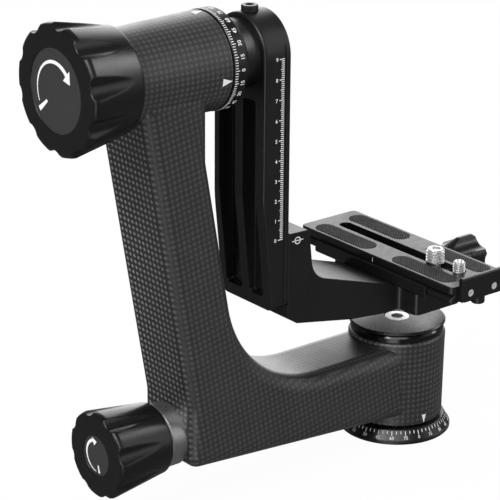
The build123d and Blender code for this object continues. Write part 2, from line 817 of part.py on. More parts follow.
def tilt_dial():
    """Graduated ring that turns with the swing arm."""
    ring = turned([(hub_spigot_radius, tilt_dial_x_outer), (tilt_dial_radius - 0.4, tilt_dial_x_outer),
                   (tilt_dial_radius, tilt_dial_x_outer + 0.4), (tilt_dial_radius, tilt_dial_x_inner - 0.4),
                   (tilt_dial_radius - 0.4, tilt_dial_x_inner), (hub_spigot_radius, tilt_dial_x_inner)])
    return along_x(ring)


def hub_screw_holes(low, high):
    """Through-holes for the four hub screws."""
    return [along_x(hole) for hole in around(Pos(hub_screw_circle, 0, 0) * rod(hub_screw_radius, low, high),
                                             4, 45)]


def tilt_hub():
    """Turned hub between the tilt shaft and the swing arm, carrying the dial."""
    flange_end = tilt_dial_x_inner + hub_flange_width
    spigot_face = tilt_dial_x_outer + 0.3
    hub = along_x(turned([(0, spigot_face), (hub_spigot_radius, spigot_face),
                          (hub_spigot_radius, tilt_dial_x_inner),
                          (hub_flange_radius, tilt_dial_x_inner), (hub_flange_edge_radius, flange_end),
                          (hub_neck_radius_outer, flange_end + 0.6),
                          (hub_neck_radius_inner, swing_x_outer - 2.0),
                          (hub_neck_radius_inner, swing_x_outer), (0, swing_x_outer)]))
    hub -= along_x(rod(hub_bolt_radius, spigot_face - 1, swing_x_outer + 1))
    for hole in hub_screw_holes(hub_screw_tip_x(), swing_x_outer + 1):
        hub -= hole
    return hub


# ---- swing arm ---------------------------------------------------------------------------------------------
slot_floor_x = swing_x_inner - slot_depth


def hub_screw_tip_x():
    """X of the hub screws' tips."""
    return slot_floor_x - hub_screw_head_height - hub_screw_length


def swing_blank():
    """Round-topped bar of the swing arm, before its cuts."""
    bar = block((swing_x_outer, swing_x_inner), (-swing_half_width, swing_half_width), (swing_bottom, tilt_z))
    bar += along_x(rod(swing_half_width, swing_x_outer, swing_x_inner))
    bar = fillet(bar.edges().filter_by(Axis.X).group_by(Axis.Z)[0], swing_corner_round)
    return fillet(bar.faces().sort_by(Axis.X)[0].edges(), swing_edge_round)


def swing_taper_cut():
    """Wedge that thins the lower part of the arm towards +X."""
    foot = swing_bottom + swing_pocket_floor
    return prism_y([(swing_x_outer - 1, swing_taper_start), (swing_x_outer, swing_taper_start),
                    (swing_x_outer + swing_taper, foot),
                    (swing_x_outer + swing_taper + 0.8, swing_bottom - 1),
                    (swing_x_outer - 1, swing_bottom - 1)], -2 * swing_half_width, 2 * swing_half_width)


def swing_pockets():
    """Two deep pockets between the three ribs."""
    low = swing_bottom + swing_pocket_floor
    edges = ((-swing_half_width + swing_front_rib, -swing_middle_rib / 2),
             (swing_middle_rib / 2, swing_half_width - swing_rear_rib))
    cuts = []
    for y in edges:
        pocket = block((swing_x_outer - 1, swing_x_outer + swing_pocket_depth), y, (low, swing_pocket_top))
        cuts.append(fillet(pocket.edges().filter_by(Axis.X), swing_pocket_round))
    return cuts


def dovetail(mouth_half, floor_half, mouth_x, floor_x, low, high):
    """Dovetail bar along Z that widens towards -X."""
    outline = Polyline((mouth_x, -mouth_half), (mouth_x, mouth_half), (floor_x, floor_half),
                       (floor_x, -floor_half),
                       close=True)
    return Pos(0, 0, low) * extrude(make_face(outline), high - low, dir=(0, 0, 1))


def swing_arm():
    """Upright arm with pockets at -X, a dovetail slot for the cradle at +X and grooved sides."""
    arm = swing_blank() - swing_taper_cut()
    for pocket in swing_pockets():
        arm -= pocket
    mouth = slot_mouth_half - (slot_floor_half - slot_mouth_half) / slot_depth
    arm -= dovetail(mouth, slot_floor_half, swing_x_inner + 1, slot_floor_x, swing_bottom - 1, slot_top)
    for side in (-1, 1):
        y = sorted((side * (swing_half_width - side_groove_depth), side * (swing_half_width + 1)))
        arm -= block((side_groove_x - side_groove_width / 2, side_groove_x + side_groove_width / 2), y,
                     (swing_bottom - 1, tilt_z + swing_half_width))
    arm -= along_x(rod(hub_bolt_radius, swing_x_outer - 1, swing_x_inner)
                   + rod(hub_bolt_head_radius, slot_floor_x - hub_bolt_head_height, swing_x_inner + 1))
    head = Pos(hub_screw_circle, 0, 0) * rod(hub_screw_head_radius, slot_floor_x - hub_screw_head_height,
                                             swing_x_inner + 1)
    for hole in hub_screw_holes(swing_x_outer - 1, swing_x_inner):
        arm -= hole
    for well in around(head, 4, 45):
        arm -= along_x(well)
    seat = tilt_z + swing_half_width - end_screw_seat_depth
    arm -= Pos(end_screw_x, 0, 0) * (rod(end_screw_head_radius + 0.3, seat, seat + 5)
                                     + rod(end_screw_radius, seat - end_screw_length, seat + 1))
    return arm


def hub_bolt():
    """Centre bolt through swing arm and hub into the tilt shaft."""
    head_low = slot_floor_x - hub_bolt_head_height
    tip = tilt_dial_x_outer + 0.3 - hub_bolt_reach
    bolt = rod(hub_bolt_radius, tip, head_low + 0.1) + rod(hub_bolt_head_radius, head_low, slot_floor_x - 0.2)
    return along_x(bolt - hexagon(hex_across_flats, slot_floor_x - 3.0, slot_floor_x + 1))


def hub_screws():
    """Four cap screws round the centre bolt."""
    head_low = slot_floor_x - hub_screw_head_height
    screw = rod(hub_screw_radius, hub_screw_tip_x(), head_low + 0.1) + rod(hub_screw_head_radius, head_low,
                                                                           slot_floor_x - 0.2)
    screw -= hexagon(3.0, slot_floor_x - 2.4, slot_floor_x + 1)
    return group([along_x(copy) for copy in around(Pos(hub_screw_circle, 0, 0) * screw, 4, 45)])


def arm_end_screw():
    """Cap screw on top of the swing arm."""
    seat = tilt_z + swing_half_width - end_screw_seat_depth
    screw = turned([(0, seat - end_screw_length), (end_screw_radius, seat - end_screw_length),
                    (end_screw_radius, seat),
                    (end_screw_head_radius, seat),
                    (end_screw_head_radius, seat + end_screw_head_height - 0.4),
                    (end_screw_head_radius - 0.4, seat + end_screw_head_height),
                    (0, seat + end_screw_head_height)])
    screw -= hexagon(4.0, seat + end_screw_head_height - 2.4, seat + end_screw_head_height + 1)
    return Pos(end_screw_x, 0, 0) * screw


# ---- cradle ------------------------------------------------------------------------------------------------
cradle_face_x = swing_x_inner + slide_gap + 0.15
clamp_seat_x = clamp_outer_x - free_gap


def cradle_floor_z(x):
    """Height of the sloping floor at x."""
    return platform_top + 0.9 + cradle_floor_slope * (clamp_seat_x - x)


def cradle_side_profile():
    """Outline in X and Z of the L-shaped bracket."""
    return [(cradle_face_x, cradle_top - 0.8), (cradle_face_x + 0.8, cradle_top),
            (cradle_inner_top_x - 1.2, cradle_top - 0.3), (cradle_inner_top_x, cradle_top - 1.6),
            (cradle_inner_foot_x, cradle_floor_z(cradle_inner_foot_x)),
            (clamp_seat_x, cradle_floor_z(clamp_seat_x)),
            (clamp_seat_x, platform_top), (platform_x_inner - 1, platform_top),
            (platform_x_inner - 1, platform_bottom),
            (platform_x_outer - 10, platform_bottom), (cradle_belly_x, cradle_belly_z),
            (cradle_heel_x, cradle_heel_low_z), (cradle_face_x, cradle_heel_z)]


def tongue(low, high):
    """Full dovetail tongue that fits the swing arm's slot."""
    lean = (slot_floor_half - slot_mouth_half) / slot_depth
    root = slot_mouth_half - lean - slide_gap
    tip_x = slot_floor_x + slide_gap
    tip = slot_floor_half - slide_gap - lean * slide_gap
    return dovetail(root, tip, swing_x_inner + 1, tip_x, low, high)


def gib_pocket(gap):
    """Space for the gib in tongue and back plate, larger by a gap."""
    root = block((cradle_face_x - 1, cradle_face_x + gib_root_depth + gap),
                 (tongue_gib_split - gap, gib_root_reach + gap),
                 (gib_bottom - gap, gib_top + gap))
    nose = block((slot_floor_x - 1, cradle_face_x + 1), (tongue_gib_split - gap, slot_floor_half + 1),
                 (gib_bottom - gap, gib_top + gap))
    return root, nose


def cradle_bracket():
    """L-shaped cradle: back plate with tongue, sloping floor and clamp platform in one piece."""
    bracket = prism_y(cradle_side_profile(), -cradle_half_width, cradle_half_width)
    inner = bracket.edges().filter_by(Axis.Y).sort_by_distance((cradle_inner_foot_x, 0,
                                                                cradle_floor_z(cradle_inner_foot_x)))
    bracket = fillet(inner[0], cradle_fillet)
    platform = block((platform_x_outer, platform_x_inner), (-platform_half_length, platform_half_length),
                     (platform_bottom, platform_top))
    bracket += upright(platform, platform_corner)
    web = block((platform_x_outer - platform_corner, platform_x_outer + 1),
                (-cradle_half_width - platform_corner, cradle_half_width + platform_corner),
                (platform_bottom, platform_top))
    for side in (-1, 1):
        web -= Pos(platform_x_outer - platform_corner, side * (cradle_half_width + platform_corner), 0) * rod(
            platform_corner, platform_bottom - 1, platform_top + 1)
    bracket += web
    bracket += tongue(cradle_heel_z + 4, cradle_top - 1)
    root, nose = gib_pocket(slide_gap)
    bracket -= root
    bracket -= nose
    bracket -= along_y(rod(cradle_screw_radius + running_gap, 0, 2 * cradle_half_width), cradle_lock_x,
                       cradle_lock_z)
    bracket -= clamp_screw_hole()
    for y in (-guide_pin_y, guide_pin_y):
        bracket -= along_x(rod(guide_pin_radius, guide_pin_start_x, platform_x_inner + 1), clamp_screw_z, y)
    for hole in bed_screw_solids():
        bracket -= hole
    return bracket


def gib_nose_half():
    """Y reach of the gib at the slot's floor, clear of the flank by its travel."""
    return slot_floor_half - slide_gap - gib_travel


def cradle_gib():
    """Wedge-sided bar that is drawn outward to lock the cradle on the swing arm."""
    root, nose = gib_pocket(0)
    lean = (slot_floor_half - slot_mouth_half) / slot_depth
    reach = slot_mouth_half - lean - slide_gap - gib_travel
    tip_x = slot_floor_x + slide_gap
    flank = dovetail(reach, gib_nose_half(), swing_x_inner + 1, tip_x, gib_bottom, gib_top)
    root_body = block((cradle_face_x + 0.2, cradle_face_x + gib_root_depth),
                      (tongue_gib_split, gib_root_reach - gib_travel),
                      (gib_bottom, gib_top))
    nose_body = flank & block((tip_x, cradle_face_x + 0.3), (tongue_gib_split, slot_floor_half),
                              (gib_bottom, gib_top))
    gib = root_body + nose_body
    return gib - along_y(rod(cradle_screw_radius + running_gap, 0, cradle_half_width), cradle_lock_x,
                         cradle_lock_z)


def cradle_lock_knob():
    """Lobed knob at the rear of the cradle."""
    start = cradle_half_width + 0.3
    knob = Pos(0, 0, start) * lobed_knob(cradle_knob_length, cradle_knob_radius, cradle_knob_neck_radius,
                                         cradle_knob_lobes)
    knob -= rod(cradle_screw_radius, start - 1, start + cradle_knob_length - 3)
    return along_y(knob, cradle_lock_x, cradle_lock_z)


def cradle_lock_screw():
    """Screw of the rear knob, threaded through the gib."""
    return along_y(rod(cradle_screw_radius, tongue_gib_split + 0.6,
                       cradle_half_width + 0.3 + cradle_knob_length - 3),
                   cradle_lock_x, cradle_lock_z)


# ---- clamp -------------------------------------------------------------------------------------------------
def flank_points(gap):
    """Right half of the plate's dovetail foot in X and Z, grown by a gap."""
    rise = plate_half_width - plate_neck_half
    return [(plate_half_width + gap, plate_bottom),
            (plate_half_width + gap, plate_bottom + plate_foot_height),
            (plate_neck_half + gap, plate_bottom + plate_foot_height + rise),
            (plate_neck_half + gap, jaw_top)]


def clamp_screw_hole():
    """Threaded hole of the clamp screw in the platform."""
    return along_x(rod(clamp_screw_radius + running_gap, clamp_screw_end_x - 1, platform_x_inner + 1),
                   clamp_screw_z)


def bed_screw_places():
    """X and Y of the four screws that hold the clamp bed."""
    return [(x, y) for x in (-bed_screw_x, bed_screw_x) for y in (-bed_screw_y, bed_screw_y)]


def bed_screw_solids():
    """The four countersunk bed screws."""
    top = platform_top + clamp_bed_thickness
    screw = turned([(0, top - bed_screw_length), (bed_screw_radius, top - bed_screw_length),
                    (bed_screw_radius, top - bed_screw_head_height), (bed_screw_head_radius, top - 0.1),
                    (0, top - 0.1)])
    return [Pos(x, y, 0) * screw for x, y in bed_screw_places()]


def clamp_bed():
    """Floor of the clamp with the fixed jaw along its -X side."""
    half = clamp_half_length
    bed_top = platform_top + clamp_bed_thickness
    outer = [(-x, z) for x, z in flank_points(plate_gap)]
    points = [(platform_x_inner, platform_top), (platform_x_inner, bed_top),
              (outer[0][0], bed_top)] + outer[1:] + [
        (clamp_outer_x, jaw_top), (clamp_outer_x, platform_top + 0.9), (clamp_outer_x + 0.9, platform_top)]
    bed = prism_y(points, -half, half)
    for screw in bed_screw_solids():
        bed -= screw
    for x, y in bed_screw_places():
        bed -= Pos(x, y, 0) * rod(bed_screw_head_radius, bed_top - 0.1, bed_top + 1)
    return bed


def bed_screws():
    """Screws of the clamp bed, with their sockets."""
    top = platform_top + clamp_bed_thickness
    socket = hexagon(1.8, top - 1.1, top + 1)
    places = bed_screw_places()
    return group([solid - Pos(x, y, 0) * socket for solid, (x, y) in zip(bed_screw_solids(), places)])


def clamp_jaw():
    """Moving jaw along the +X side of the platform."""
    outer = flank_points(plate_gap)
    inner_x = platform_x_inner + slide_gap
    points = [(inner_x, clamp_jaw_bottom + 1), (inner_x, plate_bottom - 0.3),
              (outer[0][0], plate_bottom - 0.3)]
    points += outer[1:] + [(clamp_jaw_outer_x - 0.6, jaw_top), (clamp_jaw_outer_x, jaw_top - 0.6),
                           (clamp_jaw_outer_x, clamp_jaw_bottom + 0.8),
                           (clamp_jaw_outer_x - 0.8, clamp_jaw_bottom),
                           (inner_x + 1, clamp_jaw_bottom)]
    jaw = prism_y(points, -clamp_half_length, clamp_half_length)
    jaw -= along_x(rod(clamp_screw_radius + running_gap, 0, clamp_knob_end_x), clamp_screw_z)
    for y in (-guide_pin_y, guide_pin_y):
        jaw -= along_x(rod(guide_pin_radius + running_gap, 0, clamp_jaw_outer_x - 2), clamp_screw_z, y)
    return jaw


def clamp_guide_pins():
    """Two pins in the platform that keep the moving jaw square."""
    end = clamp_jaw_outer_x - 2.6
    pins = [along_x(rod(guide_pin_radius, guide_pin_start_x, end), clamp_screw_z, y) for y in (-guide_pin_y, guide_pin_y)]
    return group(pins)


def clamp_screw():
    """Screw that draws the moving jaw in."""
    return along_x(rod(clamp_screw_radius, clamp_screw_end_x, clamp_knob_end_x - 8), clamp_screw_z)


def clamp_knob():
    """Flared grip of the clamp screw."""
    length = clamp_knob_end_x - clamp_knob_start_x
    knob = lobed_knob(length, clamp_knob_radius, clamp_knob_neck_radius, clamp_knob_lobes)
    knob -= rod(clamp_screw_radius, -1, length - 8)
    return along_x(Pos(0, 0, clamp_knob_start_x) * knob, clamp_screw_z)


# ---- camera plate ------------------------------------------------------------------------------------------
def camera_plate():
    """Quick-release plate with dovetail foot, long screw slot and four pad recesses."""
    rise = plate_half_width - plate_neck_half
    half = [(plate_half_width, plate_bottom), (plate_half_width, plate_bottom + plate_foot_height),
            (plate_neck_half, plate_bottom + plate_foot_height + rise), (plate_neck_half, slab_bottom),
            (plate_half_width, slab_bottom), (plate_half_width, plate_top - 0.5),
            (plate_half_width - 0.5, plate_top)]
    outline = half + [(-x, z) for x, z in reversed(half)]
    plate = prism_y(outline, plate_y - plate_half_length, plate_y + plate_half_length)
    corners = upright(block((-plate_half_width, plate_half_width),
                            (plate_y - plate_half_length, plate_y + plate_half_length),
                            (plate_bottom - 1, plate_top + 1)), plate_corner)
    plate &= corners
    plate -= stadium(plate_slot_half_length, plate_slot_half_width, plate_bottom - 1, plate_top + 1,
                     y=plate_y)
    grow = plate_recess_half_width - plate_slot_half_width
    plate -= stadium(plate_slot_half_length + grow, plate_recess_half_width, plate_bottom - 1,
                     plate_bottom + plate_recess_depth, y=plate_y)
    for pad in pad_solids():
        plate -= pad
    for x, y in stop_screw_places():
        plate -= Pos(x, y, 0) * rod(stop_screw_radius, plate_bottom - 1, plate_bottom + stop_screw_length)
    for screw in lip_screw_solids():
        plate -= screw
    return plate


def pad_solids():
    """Four oval rubber pads let into the plate's top."""
    low = plate_top - pad_depth
    high = plate_top + pad_proud
    return [stadium(pad_length / 2, pad_width / 2, low, high, x, plate_y + y)
            for x in (-pad_x, pad_x) for y in (-pad_y, pad_y)]


def lip_face_y():
    """Y of the plate's near end, where the lip is screwed on."""
    return plate_y - plate_half_length


def lip_screw_z():
    """Height of the lip screws, in the middle of the plate's upper slab."""
    return plate_top - plate_slab_thickness - 0.4


def lip_screw_solids():
    """Two screws of the anti-twist lip."""
    outer = lip_face_y() - lip_thickness
    screw = rod(lip_screw_radius, outer + 0.2, outer + lip_screw_length)
    screw += rod(lip_screw_head_radius, outer + 0.2, outer + 0.2 + lip_screw_head_height)
    return [along_y(screw, x, lip_screw_z()) for x in (-lip_screw_x, lip_screw_x)]


def plate_lip():
    """Anti-twist lip that stands above the plate at its near end."""
    y = (lip_face_y() - lip_thickness, lip_face_y())
    lip = block((-lip_half_width, lip_half_width), y,
                (plate_bottom + lip_bottom_above_foot, plate_top + lip_above_plate))
    lip = chamfer(lip.edges().group_by(Axis.Z)[-1], 0.5)
    for x in (-lip_screw_x, lip_screw_x):
        lip -= along_y(rod(lip_screw_head_radius, y[0] - 1, y[0] + 0.2 + lip_screw_head_height), x,
                       lip_screw_z())
        lip -= along_y(rod(lip_screw_radius, y[0] - 1, y[1] + 1), x, lip_screw_z())
    return lip


def lip_screws():
    """Lip screws with their sockets."""
    outer = lip_face_y() - lip_thickness
    socket = hexagon(1.6, outer, outer + 1.2)
    return group([screw - along_y(socket, x, lip_screw_z())
                  for screw, x in zip(lip_screw_solids(), (-lip_screw_x, lip_screw_x))])


def stop_screw_places():
    """X and Y of the two safety stop screws under the plate."""
    reach = plate_half_length - stop_screw_inset
    return [(stop_screw_x, plate_y - reach), (-stop_screw_x, plate_y + reach)]


def stop_screws():
    """Safety stops that catch on the clamp's ends before the plate slides out."""
    low = plate_bottom - stop_screw_head_height
    screw = turned([(0, low), (stop_screw_head_radius - 0.5, low), (stop_screw_head_radius, low + 0.5),
                    (stop_screw_head_radius, plate_bottom), (stop_screw_radius, plate_bottom),
                    (stop_screw_radius, plate_bottom + stop_screw_length),
                    (0, plate_bottom + stop_screw_length)])
    screw -= hexagon(2.5, low - 1, low + 2.4)
    return group([Pos(x, y, 0) * screw for x, y in stop_screw_places()])


def screw_carrier(y):
    """Washer that keeps a camera screw in the plate's slot and slides with it."""
    high = plate_bottom + plate_recess_depth - 0.05
    return Pos(0, y, 0) * rod(carrier_radius, high - carrier_thickness, high, screw_neck_radius + running_gap)


def camera_screw(y, radius, height):
    """Camera screw: slotted head in the plate's recess, thin neck and a threaded end above the plate."""
    head_high = plate_bottom + plate_recess_depth - 0.05 - carrier_thickness - 0.1
    head_low = head_high - screw_head_height
    shoulder = plate_top + 0.15
    tip = plate_top + height
    screw = turned([(0, head_low), (screw_head_radius - 0.4, head_low), (screw_head_radius, head_low + 0.4),
                    (screw_head_radius, head_high), (screw_neck_radius, head_high),
                    (screw_neck_radius, shoulder),
                    (radius, shoulder), (radius, tip - screw_point), (radius - screw_point, tip), (0, tip)])
    screw -= block((-screw_head_radius, screw_head_radius), (-0.6, 0.6), (head_low - 1, head_low + 1.2))
    return Pos(0, y, 0) * screw


# ---- nodes -------------------------------------------------------------------------------------------------
def nodes():
    """Every node's name with its solids."""
    return {
        "pan_base": pan_base(),
        "tripod_socket": tripod_socket(),
        "pan_spindle": pan_spindle(),
        "base_screws": base_screws(),
        "pan_cap": pan_cap(),
        "pan_cap_bolt": pan_cap_bolt(),
        "pan_cap_seal": pan_cap_seal(),
        "pan_inner_races": pan_set(inner_race),
        "pan_outer_races": pan_set(outer_race),
        "pan_balls": pan_balls(),
        "pan_ball_cages": pan_set(ball_cage),
        "pan_arm": pan_arm(),
        "pan_lock_knob": pan_lock_knob(),
        "pan_lock_inlay": inlay(pan_inlay_radius, pan_knob_front_x, pan_lock_z),
        "lock_collar": lock_collar(),
        "pan_lock_rod": pan_lock_rod(),
        "pan_brake_pad": pan_brake_pad(),
        "rod_guide_bush": rod_guide_bush(),
        "tilt_inner_races": tilt_set(inner_race),
        "tilt_outer_races": tilt_set(outer_race),
        "tilt_balls": tilt_balls(),
        "tilt_ball_cages": tilt_set(ball_cage),
        "tilt_shaft": tilt_shaft(),
        "friction_disc": friction_disc(),
        "pressure_ring": pressure_ring(),
        "tilt_lock_knob": tilt_lock_knob(),
        "tilt_lock_inlay": inlay(tilt_inlay_radius, tilt_knob_front_x, tilt_z),
        "tilt_lock_nut": tilt_lock_nut(),
        "tilt_dial": tilt_dial(),
        "tilt_hub": tilt_hub(),
        "swing_arm": swing_arm(),
        "hub_bolt": hub_bolt(),
        "hub_screws": hub_screws(),
        "arm_end_screw": arm_end_screw(),
        "cradle_bracket": cradle_bracket(),
        "cradle_gib": cradle_gib(),
        "cradle_lock_knob": cradle_lock_knob(),
        "cradle_lock_screw": cradle_lock_screw(),
        "clamp_bed": clamp_bed(),
        "bed_screws": bed_screws(),
        "clamp_jaw": clamp_jaw(),
        "clamp_guide_pins": clamp_guide_pins(),
        "clamp_screw": clamp_screw(),
        "clamp_knob": clamp_knob(),
        "camera_plate": camera_plate(),
        "plate_pads": group(pad_solids()),
        "plate_lip": plate_lip(),
        "lip_screws": lip_screws(),
        "stop_screws": stop_screws(),
        "large_screw_washer": screw_carrier(large_screw_y),
        "large_camera_screw": camera_screw(large_screw_y, large_screw_radius, large_screw_height),
        "small_screw_washer": screw_carrier(small_screw_y),
        "small_camera_screw": camera_screw(small_screw_y, small_screw_radius, small_screw_height),
    }


os.makedirs("parts", exist_ok=True)
for name, shape in nodes().items():
    export_step(shape, f"parts/{name}.step")
    print(name, len(shape.solids()), round(sum(solid.volume for solid in shape.solids())))
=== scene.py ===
"""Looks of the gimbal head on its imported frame: finishes, scales, threads, pads, clamp jaw and studio.

Sizes are millimetres in the part's own frame: +Z up, Z the panning axis, the tilt axis along X. Shader
scales are per metre, and the studio's places are in metres.
"""

import json
import logging
import math
from dataclasses import dataclass
from enum import Enum
from typing import Callable, Optional, Sequence, Union

import bmesh
import bpy
from mathutils import Matrix, Vector

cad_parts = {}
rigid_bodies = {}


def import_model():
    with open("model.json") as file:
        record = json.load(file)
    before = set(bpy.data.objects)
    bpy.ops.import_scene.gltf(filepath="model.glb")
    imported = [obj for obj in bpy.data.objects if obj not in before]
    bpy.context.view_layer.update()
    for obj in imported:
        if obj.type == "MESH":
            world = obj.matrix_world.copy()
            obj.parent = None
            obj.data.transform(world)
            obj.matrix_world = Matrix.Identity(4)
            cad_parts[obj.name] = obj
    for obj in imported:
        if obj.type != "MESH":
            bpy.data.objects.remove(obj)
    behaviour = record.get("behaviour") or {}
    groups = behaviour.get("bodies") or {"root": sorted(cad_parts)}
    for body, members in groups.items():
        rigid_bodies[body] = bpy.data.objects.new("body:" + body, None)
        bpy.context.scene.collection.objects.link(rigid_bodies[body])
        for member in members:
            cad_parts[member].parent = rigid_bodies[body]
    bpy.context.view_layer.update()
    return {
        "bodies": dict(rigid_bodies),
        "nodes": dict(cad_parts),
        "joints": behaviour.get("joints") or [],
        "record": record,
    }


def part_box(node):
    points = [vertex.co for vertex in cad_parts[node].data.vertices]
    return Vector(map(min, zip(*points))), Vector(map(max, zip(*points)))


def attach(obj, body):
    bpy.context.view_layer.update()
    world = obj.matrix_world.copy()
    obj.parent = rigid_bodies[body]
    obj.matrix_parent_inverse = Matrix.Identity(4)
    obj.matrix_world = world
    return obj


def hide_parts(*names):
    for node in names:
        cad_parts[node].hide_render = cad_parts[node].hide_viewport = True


MM = 0.001
FULL_TURN = 2 * math.pi
DIAGONAL = math.sqrt(0.5)
TILT_AXIS_Z = 220.8
LOCK_AXIS_Z = 36.6
DEGREES_PER_NUMBER = 15         # on both dials
THREAD_SHARPNESS = 32.0         # degrees between faces from which an edge stays sharp
EDGE_SHARPNESS = 25.0
OVERSHOOT = 1.0                 # how far a cutter runs past what it cuts

Point = tuple[float, float, float]
Flat = tuple[float, float]
Colour = tuple[float, float, float, float]
Value = Union[float, Sequence[float], bpy.types.NodeSocket]
Placer = Callable[[float, float, float], Point]
Solid = tuple[list[Point], list[list[int]]]

ORIGIN: Point = (0.0, 0.0, 0.0)
RIGHT: Point = (1.0, 0.0, 0.0)
FORWARD: Point = (0.0, -1.0, 0.0)
UP: Point = (0.0, 0.0, 1.0)

log = logging.getLogger("gimbal_head")


def grey(level: float, warmth: float = 0.0) -> Colour:
    """A neutral colour, a little warmer or cooler when asked."""
    return (level * (1 + warmth), level, level * (1 - warmth), 1.0)


# ---- shader graphs ------------------------------------------------------------------------------------
class Graph:
    """Adds nodes to one shader tree and wires them."""

    def __init__(self, tree: bpy.types.NodeTree) -> None:
        """Works on the given tree."""
        self.tree = tree

    def node(self, kind: str, **settings: object) -> bpy.types.Node:
        """Adds a node.

        Args:
            kind: Blender's name of the node type.
            settings: attributes to set on it.
        Returns:
            The new node.
        """
        made = self.tree.nodes.new(kind)
        for name, value in settings.items():
            setattr(made, name, value)
        return made

    def feed(self, socket: bpy.types.NodeSocket, value: Value) -> None:
        """Links a socket, or sets its value.

        Args:
            socket: the input.
            value: a socket to link, or a plain value.
        """
        if isinstance(value, bpy.types.NodeSocket):
            self.tree.links.new(value, socket)
        else:
            socket.default_value = value

    def math(self, operation: str, *values: Value) -> bpy.types.NodeSocket:
        """A Math node's result for one to three values.

        Args:
            operation: Blender's name of the operation.
            values: its inputs in order.
        Returns:
            The result.
        """
        made = self.node("ShaderNodeMath", operation=operation)
        for socket, value in zip(made.inputs, values):
            self.feed(socket, value)
        return made.outputs[0]

    def vector(self, operation: str, *values: Value) -> bpy.types.NodeSocket:
        """A Vector Math node's result; lengths and dot products come as numbers.

        Args:
            operation: Blender's name of the operation.
            values: its inputs in order.
        Returns:
            The result.
        """
        made = self.node("ShaderNodeVectorMath", operation=operation)
        for socket, value in zip(made.inputs, values):
            self.feed(socket, value)
        scalar = operation in ("LENGTH", "DOT_PRODUCT", "DISTANCE")
        return made.outputs["Value" if scalar else "Vector"]

    def split(self, vector: bpy.types.NodeSocket) -> tuple[bpy.types.NodeSocket, ...]:
        """The three components of a vector.

        Args:
            vector: the vector.
        Returns:
            The components along X, Y and Z.
        """
        made = self.node("ShaderNodeSeparateXYZ")
        self.feed(made.inputs[0], vector)
        return tuple(made.outputs)

    def rise(self, value: Value, low: float, high: float) -> bpy.types.NodeSocket:
        """Smooth step from 0 at low to 1 at high.

        Args:
            value: the value to compare.
            low: where the step starts.
            high: where it ends.
        Returns:
            The step's height.
        """
        made = self.node("ShaderNodeMapRange", interpolation_type="SMOOTHSTEP", clamp=True)
        self.feed(made.inputs[0], value)
        made.inputs[1].default_value = low
        made.inputs[2].default_value = high
        return made.outputs[0]

    def spread(self, value: Value, low: float, high: float) -> bpy.types.NodeSocket:
        """Maps 0 to 1 onto low to high.

        Args:
            value: a value, kept between 0 and 1.
            low: the result at 0.
            high: the result at 1.
        Returns:
            The mapped value.
        """
        made = self.node("ShaderNodeMapRange", clamp=True)
        self.feed(made.inputs[0], value)
        made.inputs[3].default_value = low
        made.inputs[4].default_value = high
        return made.outputs[0]

    def blend(self, share: Value, low: Value, high: Value) -> bpy.types.NodeSocket:
        """Colour between two colours.

        Args:
            share: 0 for the first colour, 1 for the second.
            low: the first colour.
            high: the second colour.
        Returns:
            The colour.
        """
        made = self.node("ShaderNodeMix", data_type="RGBA")
        self.feed(made.inputs[0], share)
        self.feed(made.inputs[6], low)
        self.feed(made.inputs[7], high)
        return made.outputs[2]

    def choose(self, share: Value, low: Value, high: Value) -> bpy.types.NodeSocket:
        """Number between two numbers.

        Args:
            share: 0 for the first number, 1 for the second.
            low: the first number.
            high: the second number.
        Returns:
            The number.
        """
        made = self.node("ShaderNodeMix", data_type="FLOAT")
        self.feed(made.inputs[0], share)
        self.feed(made.inputs[2], low)
        self.feed(made.inputs[3], high)
        return made.outputs[0]

    def length(self, first: Value, second: Value) -> bpy.types.NodeSocket:
        """Length of the line with two perpendicular parts."""
        squares = [self.math("MULTIPLY", part, part) for part in (first, second)]
        return self.math("SQRT", self.math("ADD", *squares))

    def beyond(self, value: Value, limit: float) -> bpy.types.NodeSocket:
        """1 where a value's size is more than the limit, else 0."""
        return self.math("GREATER_THAN", self.math("ABSOLUTE", value), limit)

    def within(self, value: Value, limit: float) -> bpy.types.NodeSocket:
        """1 where a value's size is less than the limit, else 0."""
        return self.math("LESS_THAN", self.math("ABSOLUTE", value), limit)

    def noise(self, vector: Value, scale: Value, detail: float) -> bpy.types.NodeSocket:
        """Noise between 0 and 1.

        Args:
            vector: where the noise is read.
            scale: how fine it is.
            detail: how many finer layers it has.
        Returns:
            The noise.
        """
        made = self.node("ShaderNodeTexNoise")
        self.feed(made.inputs["Vector"], vector)
        self.feed(made.inputs["Scale"], scale)
        made.inputs["Detail"].default_value = detail
        return made.outputs["Fac"]

    def group(self, tree: bpy.types.NodeTree, **inputs: Value) -> bpy.types.Node:
        """Places a node group, its inputs named with underscores for spaces.

        Args:
            tree: the group.
            inputs: values of its inputs.
        Returns:
            The group's node.
        """
        made = self.node("ShaderNodeGroup", node_tree=tree)
        for name, value in inputs.items():
            self.feed(made.inputs[name.replace("_", " ")], value)
        return made


def fresh_graph(owner: Union[bpy.types.Material, bpy.types.World]) -> Graph:
    """The emptied shader tree of a material or a world.

    Args:
        owner: the material or world.
    Returns:
        Its graph, without nodes.
    """
    owner.use_nodes = True
    owner.node_tree.nodes.clear()
    return Graph(owner.node_tree)


